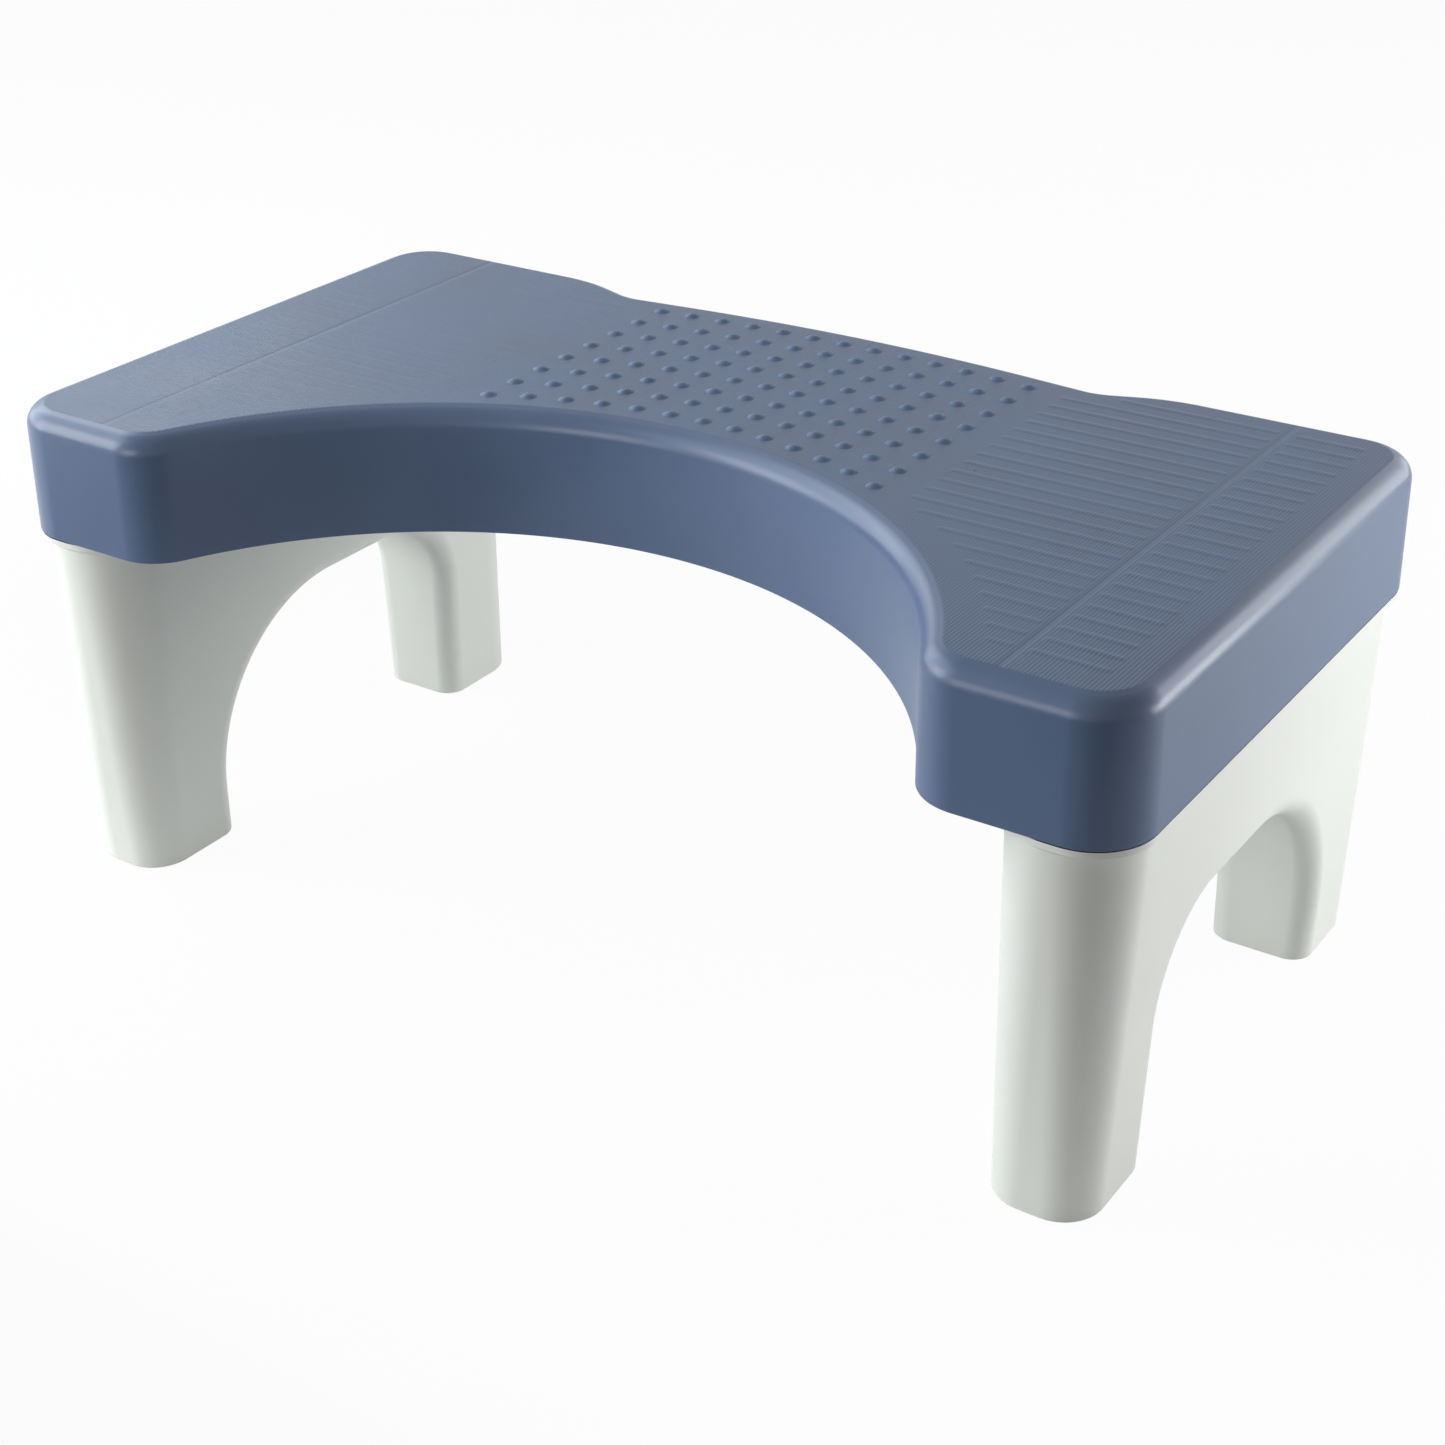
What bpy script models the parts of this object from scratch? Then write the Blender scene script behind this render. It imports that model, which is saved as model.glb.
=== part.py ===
"""Toilet footstool: a bay-fronted top shell on two plug-in leg frames.

Metres, +Z up. The origin is on the floor under the middle of the stool, +X runs
along its length and the bay that goes round the bowl opens towards -Y.
"""

import math

import bmesh
import bpy
from mathutils import Matrix, Vector

# Overall sizes
LENGTH = 0.420
DEPTH = 0.2206
HEIGHT = 0.1750
SKIRT_HEIGHT = 0.0447

# Top shell outline
END_CORNER_RADIUS = 0.020
BAY_REACH = 0.0994
LOBE_INSET = 0.0524
LOBE_CORNER_RADIUS = 0.019
SHOULDER_INSET = 0.0896
SHOULDER_RADIUS = 0.065
DIP_RUN = 0.0232
DIP_RADIUS = 0.018
CREST_DROP = 0.0018
CREST_RADIUS = 0.645
CREST_RUN = 0.0267

# Top shell walls
TOP_WALL = 0.0028
SKIRT_DRAFT = 0.0004
TOP_EDGE_RADIUS = 0.007

# Massage domes
DOME_PITCH = 0.01264
DOME_EDGE_INSET = 0.0149
DOME_DIP_INSET = 0.0200
DOME_RADIUS = 0.0030
DOME_HALF_HEIGHT = 0.0017
DOME_SINK = 0.0005

# Grip ridges on the foot pads
RIDGE_PITCH = 0.00839
RIDGE_FRONT_INSET = 0.0200
RIDGE_BACK_INSET = 0.0155
RIDGE_END_INSET = 0.0156
RIDGE_BAY_INSET = 0.0166
RIDGE_DOME_GAP = 0.0126
RIDGE_BREAK_INSET = 0.0432
RIDGE_BREAK = 0.0042
RIDGE_HALF_WIDTH = 0.0026
RIDGE_HALF_HEIGHT = 0.0009
RIDGE_SINK = 0.00045
RIDGE_MIN_LENGTH = 0.006

# Ribs under the top
RIB_WALL = 0.0020
LONG_RIB_DEPTH = 0.024
CROSS_RIB_DEPTH = 0.022
CROSS_RIB_PITCH = 0.036
CROSS_RIB_END_GAP = 0.015
LONG_RIB_PITCH = 0.029
LONG_RIB_FRONT_INSET = 0.040
LONG_RIB_BACK_INSET = 0.030
BEARING_RIB_DEPTH = 0.006
BEARING_RIB_PITCH = 0.040
BEARING_RIB_END_INSET = 0.020

# Leg frames
FRAME_WALL = 0.0026
FOOT_OUTER_INSET = 0.0071
FOOT_WIDTH = 0.0353
FOOT_END_INSET = 0.0053
FOOT_CORNER_RADIUS = 0.014
SOLE = 0.0030
SHOULDER_OUTER_INSET = 0.0025
SHOULDER_WIDTH = 0.0423
SHOULDER_END_INSET = 0.0020
SHOULDER_CORNER_RADIUS = 0.0208
COLLAR_PROUD = 0.0014
COLLAR_FLUSH_GAP = 0.0002
COLLAR_HEIGHT = 0.0020
COLLAR_FLARE = 0.0016
PLUG_INNER_RADIUS = 0.018
PLUG_SETBACK = 0.0015
WEB_WALL = 0.0020
WEB_HEIGHT = 0.060
WEB_SPACING = 0.056

# Arch through each leg frame
ARCH_HALF_WIDTH = 0.0628
ARCH_HEIGHT = 0.0819
ARCH_TIGHT_RADIUS = 0.0297
ARCH_BROAD_RADIUS = 0.0625
ARCH_EDGE_RADIUS = 0.008

# Foot pads
PAD_INSET = 0.0035
PAD_THICKNESS = 0.0016
PAD_STAND = 0.0006

# Screws and their tabs and bosses
SCREW_END_INSET = 0.0323
SCREW_SETBACK = 0.0130
SCREW_SHANK_RADIUS = 0.0019
SCREW_LENGTH = 0.014
SCREW_TIP = 0.003
SCREW_HEAD_RADIUS = 0.00375
SCREW_HEAD_HEIGHT = 0.0024
SCREW_HEAD_EDGE = 0.0008
SCREW_HOLE_RADIUS = 0.0022
SCREW_HOLE_EXTRA = 0.003
BOSS_RADIUS = 0.0048
TAB_THICKNESS = 0.0028
TAB_WIDTH = 0.020
TAB_RISE = 0.0050
TAB_LIP = 0.0060

# Fits
GAP = 0.0003
OVERRUN = 0.010
MERGE_DISTANCE = 0.000003

# Facets
BAY_STEPS = 26
CORNER_STEPS = 6
LOBE_STEPS = 6
SHOULDER_STEPS = 3
DIP_STEPS = 3
CREST_STEPS = 6
EDGE_STEPS = 4
FRAME_CORNER_STEPS = 6
TIGHT_STEPS = 6
BROAD_STEPS = 11
ARCH_EDGE_STEPS = 3
DOME_SIDES = 8
DOME_RINGS = 4
RIDGE_SIDES = 8
ROUND_SIDES = 20
SCREW_SIDES = 16
ROUND_PROFILE = 0.5

# How far a face may lean and still count as the arch's or as a broad side
ARCH_FACE_TILT_SHARE = 0.05
BROAD_FACE_TILT_SHARE = 0.9

# Heights and lines that follow from the sizes above
FRONT = -DEPTH / 2
BACK = DEPTH / 2
END = LENGTH / 2
SKIRT_Z = HEIGHT - SKIRT_HEIGHT
PLATE_Z = HEIGHT - TOP_WALL
LOBE_X = END - LOBE_INSET
LOBE_Y = FRONT + LOBE_CORNER_RADIUS
BAY_RADIUS = (LOBE_X ** 2 + BAY_REACH ** 2) / (2 * BAY_REACH) - LOBE_CORNER_RADIUS
BAY_CENTRE_Y = FRONT + BAY_REACH - BAY_RADIUS
SHOULDER_X = END - SHOULDER_INSET
DIP_X = SHOULDER_X - DIP_RUN
CREST_HALF_WIDTH = DIP_X - CREST_RUN
CREST_CENTRE_Y = BACK - CREST_DROP - CREST_RADIUS
COLLAR_TOP_Z = SKIRT_Z - GAP
COLLAR_Z = COLLAR_TOP_Z - COLLAR_HEIGHT
SHOULDER_Z = COLLAR_Z - COLLAR_FLARE
FOOT_Z = PAD_STAND
FOOT_OUTER_X = END - FOOT_OUTER_INSET
FOOT_INNER_X = FOOT_OUTER_X - FOOT_WIDTH
FOOT_Y = BACK - FOOT_END_INSET
SHOULDER_OUTER_X = END - SHOULDER_OUTER_INSET
SHOULDER_INNER_X = SHOULDER_OUTER_X - SHOULDER_WIDTH
SHOULDER_Y = BACK - SHOULDER_END_INSET
PLUG_INNER_X = SHOULDER_INNER_X + PLUG_SETBACK
PLUG_OUTER_INSET = TOP_WALL + SKIRT_DRAFT + GAP
RIM_Z = PLATE_Z - BEARING_RIB_DEPTH - GAP
SOCKET_FACE_X = PLUG_INNER_X - GAP
TAB_Z = SKIRT_Z + TAB_RISE
TAB_TOP_Z = TAB_Z + TAB_THICKNESS
BOSS_Z = TAB_TOP_Z + GAP
SCREW_X = SOCKET_FACE_X - SCREW_SETBACK
SCREW_Y = BACK - SCREW_END_INSET

# How often each pattern repeats, and where it starts and ends
DOME_SPAN = DEPTH - BAY_REACH - CREST_DROP - 2 * DOME_EDGE_INSET
DOME_ROWS = int(DOME_SPAN / DOME_PITCH) + 1
DOME_COLUMNS_EACH_SIDE = int((DIP_X - DOME_DIP_INSET) / DOME_PITCH)
RIDGE_ROWS = int((DEPTH - RIDGE_FRONT_INSET - RIDGE_BACK_INSET) / RIDGE_PITCH) + 1
RIDGE_START_X = DOME_COLUMNS_EACH_SIDE * DOME_PITCH + RIDGE_DOME_GAP
RIDGE_BREAK_X = END - RIDGE_BREAK_INSET
RIDGE_END_X = END - RIDGE_END_INSET
LONG_RIB_SPAN = DEPTH - LONG_RIB_FRONT_INSET - LONG_RIB_BACK_INSET
LONG_RIBS = int(LONG_RIB_SPAN / LONG_RIB_PITCH) + 1
CROSS_RIB_REACH = SOCKET_FACE_X - RIB_WALL - CROSS_RIB_END_GAP
CROSS_RIBS_EACH_SIDE = int(CROSS_RIB_REACH / CROSS_RIB_PITCH)
BEARING_RIBS_EACH_SIDE = int((BACK - BEARING_RIB_END_INSET) / BEARING_RIB_PITCH)

PARTS_NAME = "toilet_footstool"
CUTTERS_NAME = "cutters"

# Looks: colour, roughness and metallic of each material
NAVY = (0.105, 0.155, 0.262, 1.0)
NAVY_ROUGHNESS = 0.42
WHITE = (0.735, 0.765, 0.735, 1.0)
WHITE_ROUGHNESS = 0.45
PAD_GREY = (0.30, 0.31, 0.31, 1.0)
PAD_ROUGHNESS = 0.80
ZINC = (0.62, 0.62, 0.60, 1.0)
ZINC_ROUGHNESS = 0.35
PLASTIC_METALLIC = 0.0
ZINC_METALLIC = 1.0
SHARP_ANGLE = math.radians(40)


def clear_scene():
    """Remove every object and collection that the scene starts with."""
    for thing in list(bpy.data.objects):
        bpy.data.objects.remove(thing, do_unlink=True)
    for group in list(bpy.data.collections):
        bpy.data.collections.remove(group)


def new_collection(name):
    """Make a collection in the scene."""
    group = bpy.data.collections.new(name)
    bpy.context.scene.collection.children.link(group)
    return group


def plain_material(name, colour, roughness, metallic):
    """Make a plain Principled material."""
    material = bpy.data.materials.new(name)
    material.use_nodes = True
    shader = material.node_tree.nodes["Principled BSDF"]
    shader.inputs["Base Color"].default_value = colour
    shader.inputs["Roughness"].default_value = roughness
    shader.inputs["Metallic"].default_value = metallic
    material.diffuse_color = colour
    return material


def place(mesh_tool, name, group):
    """Turn a bmesh into an object of a collection, its faces turned outwards."""
    mesh = bpy.data.meshes.new(name)
    bmesh.ops.recalc_face_normals(mesh_tool, faces=mesh_tool.faces)
    if mesh_tool.calc_volume(signed=True) < 0:
        bmesh.ops.reverse_faces(mesh_tool, faces=mesh_tool.faces)
    mesh_tool.to_mesh(mesh)
    mesh_tool.free()
    thing = bpy.data.objects.new(name, mesh)
    group.objects.link(thing)
    if group.name == CUTTERS_NAME:
        thing.hide_render = True
        thing.display_type = "WIRE"
    return thing


def boolean(target, operand, operation):
    """Add an exact Boolean to an object."""
    modifier = target.modifiers.new(operand.name, "BOOLEAN")
    modifier.object = operand
    modifier.operation = operation
    modifier.solver = "EXACT"


def freeze(thing):
    """Replace an object's mesh by its evaluated mesh and drop its modifiers."""
    graph = bpy.context.evaluated_depsgraph_get()
    graph.update()
    mesh = bpy.data.meshes.new_from_object(thing.evaluated_get(graph))
    thing.modifiers.clear()
    thing.data = mesh


def arc(centre, radius, start, stop, steps, hollow=False):
    """Give points on an arc, each with the outline's outward normal there."""
    found = []
    for step in range(steps + 1):
        angle = start + (stop - start) * step / steps
        ray = Vector((math.cos(angle), math.sin(angle)))
        found.append((Vector(centre) + ray * radius, -ray if hollow else ray))
    return found


def fillet(before, corner, after, radius, steps, hollow=False):
    """Give the arc that rounds a corner of a polyline, with its normals."""
    corner = Vector(corner)
    back = (Vector(before) - corner).normalized()
    ahead = (Vector(after) - corner).normalized()
    half = back.angle(ahead) / 2
    middle = (back + ahead).normalized()
    centre = corner + middle * (radius / math.sin(half))
    start = corner + back * (radius / math.tan(half)) - centre
    stop = corner + ahead * (radius / math.tan(half)) - centre
    first = math.atan2(start.y, start.x)
    turn = math.atan2(start.x * stop.y - start.y * stop.x, start.dot(stop))
    return arc(centre, radius, first, first + turn, steps, hollow)


def right_outline():
    """Trace the right half of the top shell's outline, from bay to back crest."""
    meeting = math.atan2(LOBE_Y - BAY_CENTRE_Y, LOBE_X)
    quarter = math.pi / 2
    corner_x = END - END_CORNER_RADIUS
    corner_y = BACK - END_CORNER_RADIUS
    crest_angle = math.asin(CREST_HALF_WIDTH / CREST_RADIUS)
    crest_end = Vector((0, CREST_CENTRE_Y)) + CREST_RADIUS * Vector(
        (math.sin(crest_angle), math.cos(crest_angle)))
    run = (DIP_X - CREST_HALF_WIDTH) * math.tan(crest_angle)
    dip = (DIP_X, crest_end.y - run)
    shoulder = (SHOULDER_X, BACK)
    half_steps = BAY_STEPS // 2
    points = arc((0, BAY_CENTRE_Y), BAY_RADIUS, quarter, meeting, half_steps, True)
    points += arc((LOBE_X, LOBE_Y), LOBE_CORNER_RADIUS,
                  meeting + math.pi, 3 * quarter, LOBE_STEPS)[1:]
    points += arc((corner_x, -corner_y), END_CORNER_RADIUS, -quarter, 0, CORNER_STEPS)
    points += arc((corner_x, corner_y), END_CORNER_RADIUS, 0, quarter, CORNER_STEPS)
    points += fillet((END, BACK), shoulder, dip, SHOULDER_RADIUS, SHOULDER_STEPS)
    points += fillet(shoulder, dip, crest_end, DIP_RADIUS, DIP_STEPS, True)
    points += arc((0, CREST_CENTRE_Y), CREST_RADIUS,
                  quarter - crest_angle, quarter, CREST_STEPS)
    return points


def top_outline(inset):
    """Give the whole outline of the top shell, moved inwards by an inset."""
    right = right_outline()
    left = [(Vector((-p.x, p.y)), Vector((-n.x, n.y))) for p, n in reversed(right[1:-1])]
    return [p - n * inset for p, n in right + left]


def rounded_rectangle(x_range, y_range, radii, steps):
    """Give a rectangle with a radius for each corner, anticlockwise from low x, low y."""
    quarter = math.pi / 2
    corners = [(x_range[0], y_range[0]), (x_range[1], y_range[0]),
               (x_range[1], y_range[1]), (x_range[0], y_range[1])]
    inward = [(1, 1), (-1, 1), (-1, -1), (1, -1)]
    found = []
    for index, (corner, sign, radius) in enumerate(zip(corners, inward, radii)):
        centre = (corner[0] + sign[0] * radius, corner[1] + sign[1] * radius)
        start = (index + 2) * quarter
        found += [p for p, _ in arc(centre, radius, start, start + quarter, steps)]
    return found


def add_slab(tool, outline, low, high):
    """Raise a flat outline between two heights."""
    face = tool.faces.new([tool.verts.new((p[0], p[1], low)) for p in outline])
    raised = bmesh.ops.extrude_face_region(tool, geom=[face])
    verts = [v for v in raised["geom"] if isinstance(v, bmesh.types.BMVert)]
    bmesh.ops.translate(tool, verts=verts, vec=(0, 0, high - low))


def loft(rings):
    """Skin a stack of rings that share a point count, and close both ends."""
    tool = bmesh.new()
    loops = [[tool.verts.new((p[0], p[1], height)) for p in outline]
             for height, outline in rings]
    for lower, upper in zip(loops, loops[1:]):
        for index in range(len(lower)):
            ahead = (index + 1) % len(lower)
            tool.faces.new((lower[index], lower[ahead], upper[ahead], upper[index]))
    tool.faces.new(reversed(loops[0]))
    tool.faces.new(loops[-1])
    tool.normal_update()
    return tool


def add_box(tool, low, high):
    """Add a box between two corners."""
    size = Vector(high) - Vector(low)
    middle = (Vector(high) + Vector(low)) / 2
    matrix = Matrix.Translation(middle) @ Matrix.Diagonal((*size, 1))
    bmesh.ops.create_cube(tool, size=1, matrix=matrix)


def add_rod(tool, base, radius, length, sides):
    """Add an upright cylinder on a base point."""
    matrix = Matrix.Translation(Vector(base) + Vector((0, 0, length / 2)))
    bmesh.ops.create_cone(tool, cap_ends=True, segments=sides, radius1=radius,
                          radius2=radius, depth=length, matrix=matrix)


def boxes(name, group, corners):
    """Make one object of boxes that lie apart."""
    tool = bmesh.new()
    for low, high in corners:
        add_box(tool, low, high)
    return place(tool, name, group)


def screw_places():
    """Give the screws' places, right frame first, front to back."""
    return [(side * SCREW_X, place_y)
            for side in (1, -1)
            for place_y in (-SCREW_Y, 0.0, SCREW_Y)]


def top_block(name, group, inset, low):
    """Model the top's solid form, moved inwards by an inset, with its rounded edge."""
    high = HEIGHT - inset
    tool = loft([(low, top_outline(inset)), (high, top_outline(inset + SKIRT_DRAFT))])
    rim = [edge for edge in tool.edges if all(v.co.z > high - GAP for v in edge.verts)]
    bmesh.ops.bevel(tool, geom=rim, offset=TOP_EDGE_RADIUS - inset, segments=EDGE_STEPS,
                    profile=ROUND_PROFILE, affect="EDGES", clamp_overlap=False, material=-1)
    return place(tool, name, group)


def dome_lines(column_x):
    """Give the y of the first and last dome of a column."""
    bay = BAY_RADIUS + DOME_EDGE_INSET
    crest = CREST_RADIUS - DOME_EDGE_INSET
    front = BAY_CENTRE_Y + math.sqrt(bay ** 2 - column_x ** 2)
    back = CREST_CENTRE_Y + math.sqrt(crest ** 2 - column_x ** 2)
    return front, back


def add_domes(tool):
    """Add the field of massage domes, its rows bending from the bay to the crest."""
    for column in range(-DOME_COLUMNS_EACH_SIDE, DOME_COLUMNS_EACH_SIDE + 1):
        x = column * DOME_PITCH
        front, back = dome_lines(x)
        for row in range(DOME_ROWS):
            y = front + (back - front) * row / (DOME_ROWS - 1)
            matrix = Matrix.Translation((x, y, HEIGHT - DOME_SINK))
            matrix = matrix @ Matrix.Diagonal((DOME_RADIUS, DOME_RADIUS, DOME_HALF_HEIGHT, 1))
            bmesh.ops.create_uvsphere(tool, u_segments=DOME_SIDES, v_segments=DOME_RINGS,
                                      radius=1, matrix=matrix)


def ridge_start(y):
    """Give the x at which a ridge begins, clear of the bay and of the domes."""
    reach = BAY_RADIUS + RIDGE_BAY_INSET
    rise = y - BAY_CENTRE_Y
    along_bay = math.sqrt(max(reach ** 2 - rise ** 2, 0))
    return max(RIDGE_START_X, along_bay)


def add_ridge(tool, start, stop, y):
    """Add one low grip ridge along X."""
    turn = Matrix.Rotation(math.pi / 2, 4, "Y")
    matrix = Matrix.Translation(((start + stop) / 2, y, HEIGHT - RIDGE_SINK))
    matrix = matrix @ Matrix.Diagonal((1, RIDGE_HALF_WIDTH, RIDGE_HALF_HEIGHT, 1)) @ turn
    bmesh.ops.create_cone(tool, cap_ends=True, segments=RIDGE_SIDES, radius1=1, radius2=1,
                          depth=abs(stop - start), matrix=matrix)


def add_ridges(tool):
    """Add both fields of grip ridges, each broken by a line along the foot."""
    for row in range(RIDGE_ROWS):
        y = FRONT + RIDGE_FRONT_INSET + row * RIDGE_PITCH
        spans = [(ridge_start(y), RIDGE_BREAK_X - RIDGE_BREAK / 2),
                 (RIDGE_BREAK_X + RIDGE_BREAK / 2, RIDGE_END_X)]
        for side in (1, -1):
            for start, stop in spans:
                if stop - start > RIDGE_MIN_LENGTH:
                    add_ridge(tool, side * start, side * stop, y)


def grip_relief(group):
    """Make the domes and ridges that stand on the top."""
    tool = bmesh.new()
    add_domes(tool)
    add_ridges(tool)
    return place(tool, "grip_relief", group)


def long_ribs(group):
    """Make the ribs that run along the stool between the two sockets."""
    corners = []
    reach = SOCKET_FACE_X - RIB_WALL / 2
    first = FRONT + LONG_RIB_FRONT_INSET
    for index in range(LONG_RIBS):
        y = first + index * LONG_RIB_PITCH
        corners.append(((-reach, y - RIB_WALL / 2, PLATE_Z - LONG_RIB_DEPTH),
                        (reach, y + RIB_WALL / 2, HEIGHT)))
    return boxes("long_ribs", group, corners)


def cross_ribs(group):
    """Make the ribs that run from the bay to the back."""
    corners = []
    for index in range(-CROSS_RIBS_EACH_SIDE, CROSS_RIBS_EACH_SIDE + 1):
        x = index * CROSS_RIB_PITCH
        corners.append(((x - RIB_WALL / 2, FRONT, PLATE_Z - CROSS_RIB_DEPTH),
                        (x + RIB_WALL / 2, BACK, HEIGHT)))
    return boxes("cross_ribs", group, corners)


def socket_walls(group):
    """Make the wall that closes the inner side of each leg socket."""
    corners = []
    for side in (1, -1):
        faces = sorted((side * SOCKET_FACE_X, side * (SOCKET_FACE_X - RIB_WALL)))
        corners.append(((faces[0], FRONT, SKIRT_Z), (faces[1], BACK, HEIGHT)))
    return boxes("socket_walls", group, corners)


def bearing_ribs(group):
    """Make the short ribs in each socket that sit on the leg frame's rim."""
    corners = []
    for side in (1, -1):
        span = sorted((side * (SOCKET_FACE_X - RIB_WALL / 2), side * END))
        for index in range(-BEARING_RIBS_EACH_SIDE, BEARING_RIBS_EACH_SIDE + 1):
            y = index * BEARING_RIB_PITCH
            corners.append(((span[0], y - RIB_WALL / 2, PLATE_Z - BEARING_RIB_DEPTH),
                            (span[1], y + RIB_WALL / 2, HEIGHT)))
    return boxes("bearing_ribs", group, corners)


def boss_rods(group):
    """Make the screw bosses under the top."""
    tool = bmesh.new()
    for x, y in screw_places():
        add_rod(tool, (x, y, BOSS_Z), BOSS_RADIUS, PLATE_Z + TOP_WALL / 2 - BOSS_Z, ROUND_SIDES)
    return place(tool, "boss_rods", group)


def screw_holes(name, group, low, high):
    """Make the cutters for one row of screw holes between two heights."""
    tool = bmesh.new()
    for x, y in screw_places():
        add_rod(tool, (x, y, low), SCREW_HOLE_RADIUS, high - low, ROUND_SIDES)
    return place(tool, name, group)


def tab_notches(group):
    """Make the cutters that let the frames' screw tabs through the socket walls."""
    corners = []
    reach = TAB_WIDTH / 2 + GAP
    for x, y in screw_places():
        span = sorted((x, math.copysign(PLUG_INNER_X + GAP, x)))
        corners.append(((span[0], y - reach, SKIRT_Z - OVERRUN),
                        (span[1], y + reach, TAB_TOP_Z + GAP)))
    return boxes("tab_notches", group, corners)


def top_shell(parts, cutters, material):
    """Model the one-piece top: skin, ribs, leg sockets, bosses and grip relief."""
    shell = top_block("top_shell", parts, 0, SKIRT_Z)
    hollow = top_block("top_hollow", cutters, TOP_WALL, SKIRT_Z - OVERRUN)
    core = top_block("top_core", cutters, TOP_WALL / 2, SKIRT_Z)
    boolean(shell, hollow, "DIFFERENCE")
    for maker in (socket_walls, long_ribs, cross_ribs, bearing_ribs):
        ribs = maker(cutters)
        boolean(ribs, core, "INTERSECT")
        boolean(shell, ribs, "UNION")
    boolean(shell, tab_notches(cutters), "DIFFERENCE")
    boolean(shell, boss_rods(cutters), "UNION")
    pilot_top = BOSS_Z + SCREW_LENGTH - TAB_THICKNESS + SCREW_HOLE_EXTRA
    boolean(shell, screw_holes("pilot_holes", cutters, TAB_Z, pilot_top), "DIFFERENCE")
    boolean(shell, grip_relief(cutters), "UNION")
    shell.data.materials.append(material)


def frame_ring(share, inset):
    """Give a leg frame's outline at a share of the way from its feet to its shoulder."""
    def between(foot, shoulder):
        return foot + (shoulder - foot) * share
    x_range = (between(FOOT_INNER_X, SHOULDER_INNER_X) + inset,
               between(FOOT_OUTER_X, SHOULDER_OUTER_X) - inset)
    reach = between(FOOT_Y, SHOULDER_Y) - inset
    radius = between(FOOT_CORNER_RADIUS, SHOULDER_CORNER_RADIUS) - inset
    return rounded_rectangle(x_range, (-reach, reach), [radius] * 4, FRAME_CORNER_STEPS)


def collar_ring():
    """Give the outline of the collar that the skirt stands on."""
    x_range = (SHOULDER_INNER_X - COLLAR_PROUD, END - COLLAR_FLUSH_GAP)
    y_range = (FRONT + COLLAR_FLUSH_GAP, BACK - COLLAR_FLUSH_GAP)
    outer = END_CORNER_RADIUS - COLLAR_FLUSH_GAP
    inner = SHOULDER_CORNER_RADIUS + COLLAR_PROUD
    return rounded_rectangle(x_range, y_range, [inner, outer, outer, inner],
                             FRAME_CORNER_STEPS)


def plug_ring(inset):
    """Give the outline of the plug that stands in the top's socket."""
    margin = PLUG_OUTER_INSET + inset
    x_range = (PLUG_INNER_X + inset, END - margin)
    y_range = (FRONT + margin, BACK - margin)
    outer = END_CORNER_RADIUS - margin
    inner = PLUG_INNER_RADIUS - inset
    return rounded_rectangle(x_range, y_range, [inner, outer, outer, inner],
                             FRAME_CORNER_STEPS)


def foot_share(height):
    """Say how far up the leg a height is, from 0 at the sole to 1 at the shoulder."""
    return (height - FOOT_Z) / (SHOULDER_Z - FOOT_Z)


def outer_rings():
    """List the loops of a leg frame's outside, sole to rim."""
    return [
        (FOOT_Z, frame_ring(0, 0)),
        (SHOULDER_Z, frame_ring(1, 0)),
        (COLLAR_Z, collar_ring()),
        (COLLAR_TOP_Z, collar_ring()),
        (COLLAR_TOP_Z, plug_ring(0)),
        (RIM_Z, plug_ring(0)),
    ]


def inner_rings(inset, low, high):
    """List the loops of a leg frame's hollow, or of a block half-way into its walls."""
    return [
        (low, frame_ring(foot_share(low), inset)),
        (SHOULDER_Z, frame_ring(1, inset)),
        (COLLAR_TOP_Z, plug_ring(inset)),
        (high, plug_ring(inset)),
    ]


def arch_outline(growth):
    """Give the arch's outline in Y and Z, tight at the front and broad at the back."""
    reach = ARCH_HALF_WIDTH + growth
    high = ARCH_HEIGHT + growth
    tight = ARCH_TIGHT_RADIUS + growth
    broad = ARCH_BROAD_RADIUS + growth
    front_foot = Vector((-reach, -OVERRUN))
    front_top = Vector((-reach, high))
    back_top = Vector((reach, high))
    back_foot = Vector((reach, -OVERRUN))
    points = [front_foot]
    points += [p for p, _ in fillet(front_foot, front_top, back_top, tight, TIGHT_STEPS)]
    points += [p for p, _ in fillet(front_top, back_top, back_foot, broad, BROAD_STEPS)]
    points.append(back_foot)
    return points


def arch_prism(name, group, growth):
    """Make the cutter for the arch through a leg frame."""
    tool = bmesh.new()
    add_slab(tool, arch_outline(growth), SHOULDER_INNER_X - OVERRUN, END + OVERRUN)
    turn = Matrix(((0, 0, 1, 0), (1, 0, 0, 0), (0, 1, 0, 0), (0, 0, 0, 1)))
    bmesh.ops.transform(tool, matrix=turn, verts=tool.verts)
    return place(tool, name, group)


def soften_arch(thing, radius):
    """Round the arch's edges where it leaves the frame's broad faces."""
    tool = bmesh.new()
    tool.from_mesh(thing.data)
    lowest = min(v.co.z for v in tool.verts)
    chosen = []
    for edge in tool.edges:
        tilts = sorted(abs(face.normal.x) for face in edge.link_faces)
        at_corner = tilts[0] < ARCH_FACE_TILT_SHARE and tilts[1] > BROAD_FACE_TILT_SHARE
        top = max(v.co.z for v in edge.verts)
        if at_corner and lowest + GAP < top < SHOULDER_Z - GAP:
            chosen.append(edge)
    bmesh.ops.bevel(tool, geom=chosen, offset=radius, segments=ARCH_EDGE_STEPS,
                    profile=ROUND_PROFILE, affect="EDGES", clamp_overlap=False, material=-1)
    tool.to_mesh(thing.data)
    tool.free()


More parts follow.
